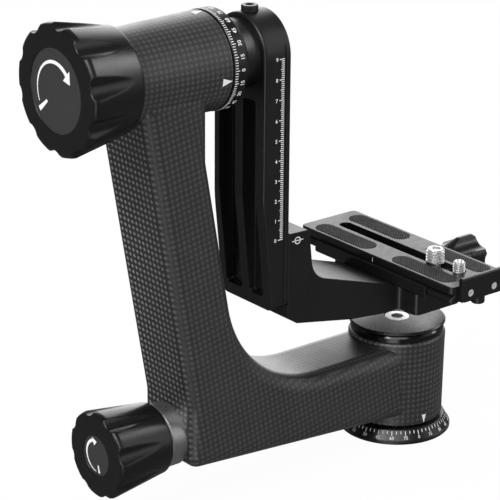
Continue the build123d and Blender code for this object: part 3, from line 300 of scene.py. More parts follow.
class GroupMaker(Graph):
    """A new shader node group with its own inputs and outputs."""

    def __init__(self, name: str, inputs: dict[str, Value], outputs: Sequence[str]) -> None:
        """Makes the group.

        Args:
            name: the group's name.
            inputs: each input's start value; three numbers make a vector input.
            outputs: names of the outputs; one that ends in Normal is a vector.
        """
        super().__init__(bpy.data.node_groups.new(name, "ShaderNodeTree"))
        for label, value in inputs.items():
            kind = "NodeSocketFloat" if isinstance(value, float) else "NodeSocketVector"
            made = self.tree.interface.new_socket(label, in_out="INPUT", socket_type=kind)
            made.default_value = value
        for label in outputs:
            kind = "NodeSocketVector" if label.endswith("Normal") else "NodeSocketFloat"
            self.tree.interface.new_socket(label, in_out="OUTPUT", socket_type=kind)
        self.given = self.node("NodeGroupInput").outputs
        self.result = self.node("NodeGroupOutput").inputs

    def put(self, name: str, value: Value) -> None:
        """Wires a value to one of the group's outputs."""
        self.feed(self.result[name], value)


class Effects:
    """The shader groups that several finishes share, each built once."""

    broad_grain = 0.09                  # scale of the broad grain as a share of the fine grain's
    broad_grain_share = 0.45
    bevel_samples = 6
    bend_range = (0.02, 0.22)           # turn of the eased normal over which an edge counts as rubbed and gets a painted sheen
    rub_scale = 260.0
    rub_range = (0.36, 0.62)
    ring_waver = 0.31
    ring_waver_share = 0.6
    ring_tones = (0.4, 0.6)
    streak_stretch = (1.0, 1.0, 0.18)
    streak_scale = 7.0                  # as a multiple of the marks' own scale
    streak_share = 0.35
    mark_range = (0.32, 0.7)
    cloth_power = 0.6
    fibres_per_tow = 14

    def __init__(self) -> None:
        """Builds every group."""
        self.grain = self.make_grain()
        self.wear = self.make_wear()
        self.rings = self.make_rings()
        self.handling = self.make_handling()
        self.weave = self.make_weave()

    def make_grain(self) -> bpy.types.NodeTree:
        """Fine blasted or moulded grain.

        Returns:
            Group with a shade and a height between 0 and 1.
        """
        maker = GroupMaker("fine_grain", {"Vector": ORIGIN, "Scale": 2500.0}, ["Shade", "Height"])
        place, scale = maker.given["Vector"], maker.given["Scale"]
        fine = maker.noise(place, scale, detail=2.0)
        broad = maker.noise(place, maker.math("MULTIPLY", scale, self.broad_grain), detail=3.0)
        maker.put("Shade", maker.choose(self.broad_grain_share, fine, broad))
        maker.put("Height", fine)
        return maker.tree

    def make_wear(self) -> bpy.types.NodeTree:
        """Eased, slightly rubbed edges, lightened partly by wear and partly as a painted sheen.

        Returns:
            Group with a mask that is 1 on rubbed edges, which also carry a painted sheen, and the eased
            normal.
        """
        start = {"Vector": ORIGIN, "Width": 0.0003, "Breakup": 0.5}
        maker = GroupMaker("rubbed_and_sheened_edges", start, ["Mask", "Normal"])
        eased = maker.node("ShaderNodeBevel", samples=self.bevel_samples)
        maker.feed(eased.inputs["Radius"], maker.given["Width"])
        flat = maker.node("ShaderNodeNewGeometry").outputs["Normal"]
        bend = maker.math("SUBTRACT", 1.0, maker.vector("DOT_PRODUCT", eased.outputs["Normal"], flat))
        cloudy = maker.noise(maker.given["Vector"], self.rub_scale, detail=4.0)
        broken = maker.choose(maker.given["Breakup"], 1.0, maker.rise(cloudy, *self.rub_range))
        maker.put("Mask", maker.math("MULTIPLY", maker.rise(bend, *self.bend_range), broken))
        maker.put("Normal", eased.outputs["Normal"])
        return maker.tree

    def make_rings(self) -> bpy.types.NodeTree:
        """Fine rings that a lathe leaves round an axis.

        Returns:
            Group with a shade and a height between 0 and 1.
        """
        start = {"Vector": ORIGIN, "Centre": ORIGIN, "Across": (1.0, 1.0, 0.0), "Pitch": 0.00022}
        maker = GroupMaker("turned_rings", start, ["Shade", "Height"])
        local = maker.vector("SUBTRACT", maker.given["Vector"], maker.given["Centre"])
        reach = maker.vector("LENGTH", maker.vector("MULTIPLY", local, maker.given["Across"]))
        turns = maker.math("DIVIDE", reach, maker.given["Pitch"])
        wave = maker.math("SINE", maker.math("MULTIPLY", turns, FULL_TURN))
        broad = maker.noise(turns, self.ring_waver, detail=2.0)
        fine = maker.spread(wave, *self.ring_tones)
        maker.put("Shade", maker.choose(self.ring_waver_share, fine, broad))
        maker.put("Height", maker.math("MULTIPLY_ADD", wave, 0.5, 0.5))
        return maker.tree

    def make_handling(self) -> bpy.types.NodeTree:
        """Faint marks of hands and cloth.

        Returns:
            Group with an amount between 0 and 1.
        """
        maker = GroupMaker("handling", {"Vector": ORIGIN, "Scale": 40.0}, ["Amount"])
        place, scale = maker.given["Vector"], maker.given["Scale"]
        cloudy = maker.noise(place, scale, detail=4.0)
        streaks = maker.vector("MULTIPLY", place, self.streak_stretch)
        wiped = maker.noise(streaks, maker.math("MULTIPLY", scale, self.streak_scale), detail=2.0)
        marks = maker.choose(self.streak_share, cloudy, wiped)
        maker.put("Amount", maker.rise(marks, *self.mark_range))
        return maker.tree

    def make_weave(self) -> bpy.types.NodeTree:
        """Plain weave laid at 45 degrees over flat coordinates.

        Returns:
            Group with a dome over each warp crossing, the cloth's height, and fine fibre lines.
        """
        start = {"Across": 0.0, "Along": 0.0, "Tow": 0.00226}
        maker = GroupMaker("plain_weave", start, ["Warp", "Height", "Fibres"])
        across, along, tow = (maker.given[name] for name in ("Across", "Along", "Tow"))
        ways, arches, cells = [], [], []
        for operation in ("ADD", "SUBTRACT"):
            diagonal = maker.math("MULTIPLY", maker.math(operation, across, along), DIAGONAL)
            way = maker.math("DIVIDE", diagonal, tow)
            ways.append(way)
            arches.append(maker.math("ABSOLUTE", maker.math("SINE", maker.math("MULTIPLY", way, math.pi))))
            cells.append(maker.math("FLOOR", way))
        parity = maker.math("FLOORED_MODULO", maker.math("ADD", *cells), 2.0)
        dome = maker.math("MULTIPLY", *arches)
        maker.put("Warp", maker.math("MULTIPLY", dome, maker.math("SUBTRACT", 1.0, parity)))
        maker.put("Height", maker.math("POWER", dome, self.cloth_power))
        strand = maker.choose(parity, ways[1], ways[0])
        lines = maker.math("SINE", maker.math("MULTIPLY", strand, self.fibres_per_tow * FULL_TURN))
        maker.put("Fibres", maker.math("MULTIPLY_ADD", lines, 0.5, 0.5))
        return maker.tree


# ---- finishes -----------------------------------------------------------------------------------------
class Lathe(Enum):
    """Axis that a turned face was cut about: its centre in metres and the directions across it."""

    NONE = (ORIGIN, ORIGIN)
    PAN = (ORIGIN, (1.0, 1.0, 0.0))
    TILT = ((0.0, 0.0, TILT_AXIS_Z * MM), (0.0, 1.0, 1.0))
    LOCK = ((0.0, 0.0, LOCK_AXIS_Z * MM), (0.0, 1.0, 1.0))


@dataclass(frozen=True)
class Finish:
    """A surface with grain, eased edges that are lighter from wear and painted sheen, and faint marks of use.
    Widths and depths are in millimetres.
    """

    name: str
    colour: Colour
    roughness: float
    metallic: float = 0.0
    specular: float = 0.5
    coat: float = 0.0
    coat_roughness: float = 0.2
    grain_scale: float = 2600.0
    grain_depth: float = 0.01
    shade_swing: float = 0.25
    # edges are lightened partly by wear and partly by a painted sheen
    edge_width: float = 0.35
    edge_colour: Colour = grey(0.06)
    edge_share: float = 0.35
    edge_breakup: float = 0.55
    roughness_swing: float = 0.06
    handling_scale: float = 38.0
    lathe: Lathe = Lathe.NONE
    ring_depth: float = 0.004
    ring_tone_share: float = 0.5
    ring_height_share: float = 0.7

    def material(self, effects: Effects) -> bpy.types.Material:
        """The finish as a Blender material.

        Args:
            effects: the shared shader groups.
        Returns:
            The new material.
        """
        made = bpy.data.materials.new(self.name)
        graph = fresh_graph(made)
        surface = graph.node("ShaderNodeBsdfPrincipled")
        out = graph.node("ShaderNodeOutputMaterial")
        graph.feed(out.inputs["Surface"], surface.outputs[0])
        surface.inputs["Metallic"].default_value = self.metallic
        surface.inputs["Specular IOR Level"].default_value = self.specular
        surface.inputs["Coat Weight"].default_value = self.coat
        surface.inputs["Coat Roughness"].default_value = self.coat_roughness
        place = graph.node("ShaderNodeTexCoord").outputs["Object"]
        wear = graph.group(effects.wear, Vector=place, Width=self.edge_width * MM, Breakup=self.edge_breakup)
        shade, height, depth = self.texture(graph, effects, place)
        # edge colour: partly real wear, partly a painted sheen on the edges
        rubbed_or_sheened = graph.math("MULTIPLY", wear.outputs["Mask"], self.edge_share)
        graph.feed(surface.inputs["Base Color"], graph.blend(rubbed_or_sheened, shade, self.edge_colour))
        marks = graph.group(effects.handling, Vector=place, Scale=self.handling_scale).outputs["Amount"]
        low, high = self.roughness - self.roughness_swing, self.roughness + self.roughness_swing
        graph.feed(surface.inputs["Roughness"], graph.spread(marks, low, high))
        bump = graph.node("ShaderNodeBump")
        bump.inputs["Distance"].default_value = depth * MM
        graph.feed(bump.inputs["Height"], height)
        graph.feed(bump.inputs["Normal"], wear.outputs["Normal"])
        graph.feed(surface.inputs["Normal"], bump.outputs["Normal"])
        return made

    def texture(self, graph: Graph, effects: Effects, place: Value) -> tuple[Value, Value, float]:
        """Colour and relief of the surface.

        Args:
            graph: the material's graph.
            effects: the shared shader groups.
            place: the object coordinates.
        Returns:
            Colour, height, and the height's depth in millimetres.
        """
        *parts, alpha = self.colour
        low, high = ((*(part * (1 + swing) for part in parts), alpha)
                     for swing in (-self.shade_swing, self.shade_swing))
        grain = graph.group(effects.grain, Vector=place, Scale=self.grain_scale)
        if self.lathe is Lathe.NONE:
            return graph.blend(grain.outputs["Shade"], low, high), grain.outputs["Height"], self.grain_depth
        centre, across = self.lathe.value
        rings = graph.group(effects.rings, Vector=place, Centre=centre, Across=across)
        tone = graph.choose(self.ring_tone_share, grain.outputs["Shade"], rings.outputs["Shade"])
        height = graph.choose(self.ring_height_share, grain.outputs["Height"], rings.outputs["Height"])
        return graph.blend(tone, low, high), height, self.ring_depth


@dataclass(frozen=True)
class CarbonFinish(Finish):
    """Woven carbon under satin lacquer, wrapped round boss, limbs and housing."""

    side_tow: float = 2.0
    face_tow: float = 2.24
    lean: float = 0.174             # outward run of the limb's outer face for each mm of height
    outer_face_x: float = -149.3
    outer_face_z: float = 54.0
    limb_half_width: float = 21.0
    corner_slack: float = 3.81      # cloth taken up by the rounded corner
    housing_reach: float = 24.7
    boss_reach: float = 25.9
    side_turn: float = 0.707        # part of the normal along an axis from which a face belongs to it
    top_turn: float = 0.8
    round_turn: float = 0.7         # the same for the ends of housing and boss
    cloth_depth: float = 0.03
    # tones of side and outer face: the outer face's bright dots on a darker ground are a painted reflection
    # that follows the way the surface faces
    side_tone: float = 0.024
    side_dot: float = 0.066
    cell_power: float = 0.6
    face_tone: float = 0.018
    face_dot: float = 0.24
    glint_power: float = 1.3
    face_fade: tuple[float, float] = (0.5, 1.2)     # painted light: the outer face brightens from the limb's near corner to its far one
    face_range: tuple[float, float] = (0.80, 0.98)  # part of the normal over which the side's tones turn into the outer face's painted glint
    fibre_tones: tuple[float, float] = (0.86, 1.12)
    dull_scale: float = 55.0
    dull_tones: tuple[float, float] = (0.8, 1.2)

    def texture(self, graph: Graph, effects: Effects, place: Value) -> tuple[Value, Value, float]:
        """Weave colour with painted glint and painted light by facing, and relief, as for Finish.

        Args:
            graph: the material's graph.
            effects: the shared shader groups.
            place: the object coordinates.
        Returns:
            Colour, height, and the height's depth in millimetres.
        """
        turning = graph.node("ShaderNodeTexCoord").outputs["Normal"]
        across, along = self.cloth(graph, place, turning)
        turn_x = graph.split(turning)[0]
        on_face = graph.beyond(turn_x, self.side_turn)
        tow = graph.choose(on_face, self.side_tow * MM, self.face_tow * MM)
        weave = graph.group(effects.weave, Across=across, Along=along, Tow=tow).outputs
        cell = graph.math("POWER", weave["Warp"], self.cell_power)
        side = graph.choose(cell, self.side_tone, self.side_dot)
        glint = graph.math("POWER", weave["Warp"], self.glint_power)
        # painted light: the outer face's glint grows brighter from the near corner to the far one
        from_corner = graph.math("DIVIDE", graph.split(place)[1], 2 * self.limb_half_width * MM)
        lit = graph.spread(graph.math("ADD", from_corner, 0.5), *self.face_fade)
        face = graph.choose(glint, self.face_tone, graph.math("MULTIPLY", lit, self.face_dot))
        # painted reflection: the tones switch from the side's to the outer face's glint by the normal's
        # direction
        to_glint_face = graph.rise(graph.math("ABSOLUTE", turn_x), *self.face_range)
        tone = graph.choose(to_glint_face, side, face)
        dull = graph.noise(place, self.dull_scale, detail=3.0)
        for swing in (graph.spread(weave["Fibres"], *self.fibre_tones), graph.spread(dull, *self.dull_tones)):
            tone = graph.math("MULTIPLY", tone, swing)
        return graph.blend(tone, grey(0.0), grey(1.0)), weave["Height"], self.cloth_depth

    def cloth(self, graph: Graph, place: Value, turning: Value) -> tuple[Value, Value]:
        """Flat cloth coordinates of a point on the arm.

        Args:
            graph: the material's graph.
            place: the object coordinates.
            turning: the normal in the object's axes.
        Returns:
            Distance across and along the cloth, in metres.
        """
        x, y, z = graph.split(place)
        turn_x, turn_y, turn_z = graph.split(turning)
        lean = math.atan(self.lean)
        cosine, sine = math.cos(lean), math.sin(lean)
        start = (self.outer_face_x * cosine + self.outer_face_z * sine) * MM
        inward = graph.math("ADD", graph.math("MULTIPLY", x, cosine), graph.math("MULTIPLY", z, sine))
        along = graph.math("SUBTRACT", graph.math("MULTIPLY", z, cosine), graph.math("MULTIPLY", x, sine))
        face_run = (self.limb_half_width - self.corner_slack) * MM
        wrapped = graph.math("ADD", graph.math("SUBTRACT", inward, start), face_run)
        side = graph.math("MULTIPLY", wrapped, graph.math("SIGN", turn_y))
        across = graph.choose(graph.beyond(turn_y, self.side_turn), y, side)
        along = graph.choose(graph.beyond(turn_z, self.top_turn), along, x)
        above = graph.math("SUBTRACT", z, TILT_AXIS_Z * MM)
        on_housing, tilt_run = self.round_side(graph, y, above, turn_x, self.housing_reach)
        across = graph.choose(on_housing, across, x)
        along = graph.choose(on_housing, along, tilt_run)
        on_boss, pan_run = self.round_side(graph, x, y, turn_z, self.boss_reach)
        return graph.choose(on_boss, across, pan_run), graph.choose(on_boss, along, z)

    def round_side(self, graph: Graph, first: Value, second: Value, end_turn: Value,
                   reach: float) -> tuple[Value, Value]:
        """Side of a round part of the arm.

        Args:
            graph: the material's graph.
            first: distance from the part's axis, where the run round it starts.
            second: distance from the axis at a right angle to that.
            end_turn: part of the normal along the axis.
            reach: radius of the part in millimetres.
        Returns:
            1 on the side, else 0, and the run round the axis in metres.
        """
        near = graph.math("LESS_THAN", graph.length(first, second), reach * MM)
        on_side = graph.math("MULTIPLY", near, graph.within(end_turn, self.round_turn))
        return on_side, graph.math("MULTIPLY", graph.math("ARCTAN2", second, first), reach * MM)


FINISHES = {finish.name: finish for finish in (
    CarbonFinish("carbon", grey(0.03), roughness=0.42, specular=0.45, coat=0.35, coat_roughness=0.3,
                 edge_width=0.4, edge_colour=grey(0.05), edge_share=0.1, handling_scale=22.0),
    Finish("black_anodised", grey(0.007), roughness=0.33, edge_width=0.6, edge_colour=grey(0.03)),
    Finish("black_turned_pan", grey(0.010), roughness=0.3, lathe=Lathe.PAN),
    Finish("black_turned_tilt", grey(0.007), roughness=0.33, specular=0.45, lathe=Lathe.TILT),
    Finish("knob_black", grey(0.006), roughness=0.24, edge_width=1.6, edge_colour=grey(0.012),
           edge_share=0.2, grain_scale=1500.0, grain_depth=0.003, shade_swing=0.08, roughness_swing=0.03),
    Finish("bright_collar", grey(0.42), roughness=0.3, metallic=0.9, lathe=Lathe.LOCK, edge_colour=grey(0.5)),
    Finish("bare_aluminium", grey(0.62), roughness=0.34, metallic=1.0, edge_colour=grey(0.8)),
    Finish("steel", grey(0.78, 0.01), roughness=0.32, metallic=0.72, edge_colour=grey(0.8),
           grain_depth=0.003, edge_width=0.12),
    Finish("satin_steel", grey(0.72), roughness=0.45, metallic=0.45, edge_colour=grey(0.85),
           grain_depth=0.003, edge_width=0.1),
    Finish("blackened_steel", grey(0.03), roughness=0.3, metallic=0.5, edge_width=0.15,
           edge_colour=grey(0.2)),
    Finish("gloss_black", grey(0.004), roughness=0.12, roughness_swing=0.03, edge_colour=grey(0.02)),
    # the inlay's light rim edge is a painted highlight ring
    Finish("inlay_grey", grey(0.038), roughness=0.5, specular=0.3, grain_scale=3200.0, edge_width=0.25,
           edge_colour=grey(0.35), edge_share=0.9),
    Finish("brake_plastic", grey(0.72, 0.03), roughness=0.55, edge_colour=grey(0.8)),
    Finish("brass", (0.62, 0.42, 0.16, 1.0), roughness=0.3, metallic=1.0, edge_colour=(0.8, 0.6, 0.3, 1.0)),
    Finish("rubber", grey(0.022), roughness=0.7, specular=0.28, edge_width=0.1, edge_colour=grey(0.05),
           grain_scale=1800.0, grain_depth=0.02),
    Finish("white_print", grey(0.86), roughness=0.5, specular=0.4, shade_swing=0.05, edge_width=0.03,
           edge_colour=grey(0.8)),
)}


# ---- workshop -----------------------------------------------------------------------------------------
def placed(name: str, data: bpy.types.ID) -> bpy.types.Object:
    """A new object in the scene.

    Args:
        name: the object's name.
        data: its mesh, curve, lamp or camera.
    Returns:
        The new object.
    """
    made = bpy.data.objects.new(name, data)
    bpy.context.scene.collection.objects.link(made)
    return made


def mesh_in_millimetres(name: str, points: Sequence[Point], faces: Sequence[Sequence[int]]) -> bpy.types.Mesh:
    """A new mesh from points in millimetres.

    Args:
        name: the mesh's name.
        points: its points.
        faces: lists of indices into the points.
    Returns:
        The new mesh.
    """
    mesh = bpy.data.meshes.new(name)
    mesh.from_pydata([Vector(point) * MM for point in points], [], faces)
    return mesh


class Workshop:
    """Paints the frame's nodes and adds new pieces to it."""

    def __init__(self, frame: dict) -> None:
        """Builds the shader groups and reads which slot each node takes.

        Args:
            frame: the loaded frame, with its nodes and record.
        """
        self.nodes = frame["nodes"]
        self.slots = {row["node"]: row["material_slot"] for row in frame["record"]["subparts"]}
        self.effects = Effects()
        self.materials: dict[str, bpy.types.Material] = {}

    def material(self, finish: str) -> bpy.types.Material:
        """The material of a finish, made on its first use.

        Args:
            finish: the finish's name.
        Returns:
            The material.
        """
        if finish not in self.materials:
            self.materials[finish] = FINISHES[finish].material(self.effects)
        return self.materials[finish]

    def dress(self, names: Sequence[str], finish: Optional[str] = None) -> None:
        """Paints nodes with a finish, or with the finish of their own slots.

        Args:
            names: the nodes' names.
            finish: the finish's name, or None for the slots' own.
        """
        for name in names:
            node = self.nodes[name]
            node.data.materials.clear()
            node.data.materials.append(self.material(finish or self.slots[name]))
            log.info("dressed %s", name)

    def piece(self, name: str, vertices: Sequence[Point], faces: Sequence[Sequence[int]], finish: str,
              body: str, slot: str) -> bpy.types.Object:
        """Makes a mesh piece that rides on a body.

        Args:
            name: the piece's name.
            vertices: points in millimetres.
            faces: lists of indices into the points.
            finish: name of its finish.
            body: the body it moves with.
            slot: the record's material slot it belongs to; not used.
        Returns:
            The new object.
        """
        mesh = mesh_in_millimetres(name, vertices, faces)
        mesh.materials.append(self.material(finish))
        made = placed(name, mesh)
        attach(made, body)
        log.info("made %s: %d faces on %s", name, len(faces), body)
        return made


def smooth_by_angle(piece: bpy.types.Object, degrees: float) -> None:
    """Shades a piece smooth except at edges sharper than an angle.

    Args:
        piece: the piece.
        degrees: turn between two faces from which their edge is sharp.
    """
    mesh = piece.data
    work = bmesh.new()
    work.from_mesh(mesh)
    for face in work.faces:
        face.smooth = True
    for edge in work.edges:
        edge.smooth = len(edge.link_faces) == 2 and edge.calc_face_angle() < math.radians(degrees)
    work.to_mesh(mesh)
    work.free()


def carve(piece: bpy.types.Object, points: Sequence[Point], faces: Sequence[Sequence[int]]) -> None:
    """Cuts a closed shape, given in millimetres, out of a piece.

    Args:
        piece: the piece that is cut.
        points: the cutter's points.
        faces: lists of indices into the points.
    """
    cutter = placed("cutter", mesh_in_millimetres("cutter", points, faces))
    cut = piece.modifiers.new("cut", "BOOLEAN")
    cut.operation = "DIFFERENCE"
    cut.object = cutter
    cut.solver = "EXACT"
    graph = bpy.context.evaluated_depsgraph_get()
    material = piece.data.materials[0]
    result = bpy.data.meshes.new_from_object(piece.evaluated_get(graph))
    piece.modifiers.clear()
    piece.data = result
    result.materials.clear()
    result.materials.append(material)
    bpy.data.objects.remove(cutter)


def tube_faces(rings: int, count: int) -> list[list[int]]:
    """Faces of a closed tube over rings of points.

    Args:
        rings: how many rings follow one another.
        count: points in each ring.
    Returns:
        The first end, the quads between the rings, and the last end.
    """
    faces = [list(reversed(range(count)))]
    for start in range(0, (rings - 1) * count, count):
        for corner in range(count):
            after = (corner + 1) % count
            faces.append([start + corner, start + after, start + count + after, start + count + corner])
    faces.append([(rings - 1) * count + corner for corner in range(count)])
    return faces


def prism(outline: Sequence[Flat], low: float, high: float, place: Placer) -> Solid:
    """Closed prism over a counter-clockwise outline.

    Args:
        outline: corners in the flat coordinates of place.
        low: lift of its underside.
        high: lift of its top.
        place: turns flat coordinates and a lift into a point.
    Returns:
        Points and faces.
    """
    points = [place(right, up, lift) for lift in (low, high) for right, up in outline]
    return points, tube_faces(2, len(outline))


# ---- faces that print lies on -------------------------------------------------------------------------
class Spin(Enum):
    """Axis that a turned face goes round."""

    PAN = "pan"
    TILT = "tilt"


@dataclass(frozen=True)
class TurnedFace:
    """Cylinder or cone round the pan or tilt axis, described by its radius at two stations.

    Its marks stand upright towards its high station on the pan axis, and towards its low one at tilt.
    """

    spin: Spin
    low: float
    low_radius: float
    high: float
    high_radius: float

    @property
    def upright(self) -> int:
        """Way along the axis in which the marks' own up points."""
        return 1 if self.spin is Spin.PAN else -1

    def placer(self, turn: float, station: float) -> Placer:
        """A placer for a mark.

        Args:
            turn: the mark's angle in degrees.
            station: the mark's place along the axis.
        Returns:
            Function from the mark's own right, up and lift to a point.
        """
        slope = math.atan2(self.high_radius - self.low_radius, self.high - self.low)

        def place(right: float, up: float, lift: float) -> Point:
            """Point of the mark.

            Args:
                right: run round the axis.
                up: run along the face.
                lift: height off the face.
            Returns:
                The point.
            """
            along = station + self.upright * up * math.cos(slope)
            radius = self.low_radius + (along - self.low) * math.tan(slope)
            angle = math.radians(turn) + right / radius
            reach = radius + lift * math.cos(slope)
            along -= lift * math.sin(slope)
            if self.spin is Spin.PAN:
                return (reach * math.cos(angle), reach * math.sin(angle), along)
            return (along, -reach * math.cos(angle), TILT_AXIS_Z + reach * math.sin(angle))

        return place


@dataclass(frozen=True)
class FlatFace:
    """Flat face with its own right and up directions."""

    origin: Point
    right: Point
    up: Point

    def placer(self, right_start: float = 0.0, up_start: float = 0.0) -> Placer:
        """A placer for a mark whose own origin is shifted by two distances.

        Args:
            right_start: shift to the right.
            up_start: shift upwards.
        Returns:
            Function from the mark's own right, up and lift to a point.
        """
        origin, right_way, up_way = Vector(self.origin), Vector(self.right), Vector(self.up)
        outward = right_way.cross(up_way)

        def place(right: float, up: float, lift: float) -> Point:
            """Point of the mark."""
            spot = origin + right_way * (right + right_start) + up_way * (up + up_start) + outward * lift
            return tuple(spot)

        return place


def rectangle(left: float, right: float, low: float, high: float) -> list[Flat]:
    """Corners of a rectangle, counter-clockwise."""
    return [(left, low), (right, low), (right, high), (left, high)]


def polar(turn: float, radius: float) -> Flat:
    """Flat coordinates of an angle in degrees and a radius."""
    return (radius * math.cos(math.radians(turn)), radius * math.sin(math.radians(turn)))


class Ink:
    """Printed marks gathered into closed solids that stand a little proud of their face."""

    thickness = 0.05
    sink = 0.03
    divide_tolerance = 1e-5
    digit_weight = 0.012            # outward offset of the digits' outlines, as a share of their size
    digit_resolution = 3
    digit_merge = 0.0005
    digit_sheets: dict[str, bmesh.types.BMesh] = {}

    def __init__(self, step: float = 0.0) -> None:
        """Starts an empty set of marks.

        Args:
            step: widest run in the right direction before a mark is divided, or 0 on a flat face.
        """
        self.step = step
        self.vertices: list[Point] = []
        self.faces: list[list[int]] = []

    def outline(self, corners: Sequence[Flat], place: Placer) -> None:
        """Adds a filled convex outline.

        Args:
            corners: the outline's corners in order.
            place: the placer of the face.
        """
        sheet = bmesh.new()
        sheet.faces.new([sheet.verts.new((right, up, 0)) for right, up in corners])
        self.sheet(sheet, place)
        sheet.free()

    def bar(self, width: float, height: float, place: Placer) -> None:
        """Adds a bar that stands on the placer's origin and is centred across it."""
        self.outline(rectangle(-width / 2, width / 2, 0, height), place)

    def band(self, rows: Sequence[Sequence[Flat]], place: Placer) -> None:
        """Adds a strip of quads between pairs of corners.

        Args:
            rows: an inner and an outer corner for each step.
            place: the placer of the face.
        """
        sheet = bmesh.new()
        pairs = [[sheet.verts.new((right, up, 0)) for right, up in row] for row in rows]
        for (first_in, first_out), (next_in, next_out) in zip(pairs, pairs[1:]):
            sheet.faces.new([first_in, first_out, next_out, next_in])
        self.sheet(sheet, place)
        sheet.free()

    def number(self, text: str, height: float, place: Placer) -> None:
        """Adds a number centred on the placer's origin.

        Args:
            text: the number.
            height: its height.
            place: the placer of the face.
        """
        sheet = self.digits(text).copy()
        bmesh.ops.scale(sheet, vec=(height, height, 1), verts=sheet.verts)
        self.sheet(sheet, place)
        sheet.free()

    @classmethod
    def digits(cls, text: str) -> bmesh.types.BMesh:
        """Flat mesh of a number one unit tall, centred on the origin.

        Args:
            text: the number.
        Returns:
            A mesh that is kept for the next use.
        """
        if text not in cls.digit_sheets:
            curve = bpy.data.curves.new("digits", "FONT")
            curve.body = text
            curve.resolution_u = cls.digit_resolution
            curve.offset = cls.digit_weight
            holder = placed("digits", curve)
            graph = bpy.context.evaluated_depsgraph_get()
            mesh = bpy.data.meshes.new_from_object(holder.evaluated_get(graph))
            sheet = bmesh.new()
            sheet.from_mesh(mesh)
            bmesh.ops.remove_doubles(sheet, verts=sheet.verts, dist=cls.digit_merge)
            low, high = (Vector(end(vert.co[axis] for vert in sheet.verts) for axis in range(3))
                         for end in (min, max))
            bmesh.ops.translate(sheet, vec=-(low + high) / 2, verts=sheet.verts)
            unit = 1 / (high.y - low.y)
            bmesh.ops.scale(sheet, vec=(unit, unit, 1), verts=sheet.verts)
            bpy.data.objects.remove(holder)
            bpy.data.curves.remove(curve)
            bpy.data.meshes.remove(mesh)
            cls.digit_sheets[text] = sheet
        return cls.digit_sheets[text]

    def sheet(self, sheet: bmesh.types.BMesh, place: Placer) -> None:
        """Adds a flat mesh as a closed solid laid on a face.

        Args:
            sheet: faces in the plane z = 0; it may be divided here.
            place: the placer of the face.
        """
        if self.step:
            rights = [vert.co.x for vert in sheet.verts]
            first = math.ceil(min(rights) / self.step)
            last = math.floor(max(rights) / self.step)
            for cut in range(first, last + 1):
                everything = sheet.verts[:] + sheet.edges[:] + sheet.faces[:]
                bmesh.ops.bisect_plane(sheet, geom=everything, dist=self.divide_tolerance,
                                       plane_co=(cut * self.step, 0, 0), plane_no=RIGHT)
        sheet.normal_update()
        for face in sheet.faces:
            if face.normal.z < 0:
                face.normal_flip()
        sheet.verts.index_update()
        base = len(self.vertices)
        count = len(sheet.verts)
        for lift in (self.thickness, -self.sink):
            self.vertices += [place(vert.co.x, vert.co.y, lift) for vert in sheet.verts]
        for face in sheet.faces:
            corners = [base + vert.index for vert in face.verts]
            self.faces.append(corners)
            self.faces.append([corner + count for corner in reversed(corners)])
            for loop in face.loops:
                if len(loop.edge.link_faces) == 1:
                    start, end = base + loop.vert.index, base + loop.link_loop_next.vert.index
                    self.faces.append([start + count, end + count, end, start])

    def piece(self, workshop: Workshop, name: str, body: str, slot: str) -> bpy.types.Object:
        """The marks as one piece on a body."""
        return workshop.piece(name, self.vertices, self.faces, "white_print", body, slot)


@dataclass(frozen=True)
class DialScale:
    """Ring of ticks round a turned face, of which the longer ones have a number."""

    ticks: int
    tick_top: float
    tick_lengths: tuple[float, float]
    tick_width: float
    number_height: float
    number_station: float
    label: Callable[[int], int]
    zero_turn: float = 0.0

    def draw(self, ink: Ink, face: TurnedFace) -> None:
        """Adds every tick and number.

        Args:
            ink: the ink that the marks go into.
            face: the dial's face.
        """
        per_number = self.ticks * DEGREES_PER_NUMBER // 360
        for tick in range(self.ticks):
            turn = self.zero_turn + 360 * tick / self.ticks
            labelled = tick % per_number == 0
            length = self.tick_lengths[labelled]
            ink.bar(self.tick_width, length, face.placer(turn, self.tick_top - face.upright * length))
            if labelled:
                number = str(self.label(tick // per_number * DEGREES_PER_NUMBER))
                ink.number(number, self.number_height, face.placer(turn, self.number_station))


# ---- turned pieces ------------------------------------------------------------------------------------
@dataclass(frozen=True)
class Thread:
    """External or internal screw thread: pitch, root and crest radius, and its run along the axis."""

    pitch: float
    root: float
    crest: float
    low: float
    high: float
    flank: float = 2.7              # how many times a flank's run fits into the pitch
    stations_per_turn: int = 10

    def stations(self) -> list[float]:
        """Heights at which the thread's surface has points, from low to high.

        Returns:
            The heights.
        """
        run = self.high - self.low
        count = math.ceil(run / self.pitch * self.stations_per_turn)
        return [self.low + run * step / count for step in range(count + 1)]

    def radius(self, angle: float, height: float) -> float:
        """Radius of the thread's surface.

        Args:
            angle: angle round the axis in radians.
            height: height along the axis.
        Returns:
            The radius there.
        """
        phase = (height / self.pitch - angle / FULL_TURN) % 1.0
        ridge = min(1.0, max(0.0, self.flank / 2 - self.flank * abs(phase - 0.5)))
        return self.root + (self.crest - self.root) * ridge


def turned_mesh(stations: Sequence[float], radius_at: Callable[[float, int], float], segments: int) -> Solid:
    """Closed solid on Z whose radius may change with the angle.

    Args:
        stations: heights in the order of the profile; equal neighbours make a step.
        radius_at: radius for an angle and the station's index.
        segments: faces round the axis.
    Returns:
        Points and faces.
    """
    points = []
    for index, height in enumerate(stations):
        for turn in range(segments):
            angle = FULL_TURN * turn / segments
            reach = radius_at(angle, index)
            points.append((reach * math.cos(angle), reach * math.sin(angle), height))
    return points, tube_faces(len(stations), segments)


def moved(points: Sequence[Point], x: float = 0.0, y: float = 0.0) -> list[Point]:
    """Points shifted by a distance along X and Y."""
    return [(point[0] + x, point[1] + y, point[2]) for point in points]


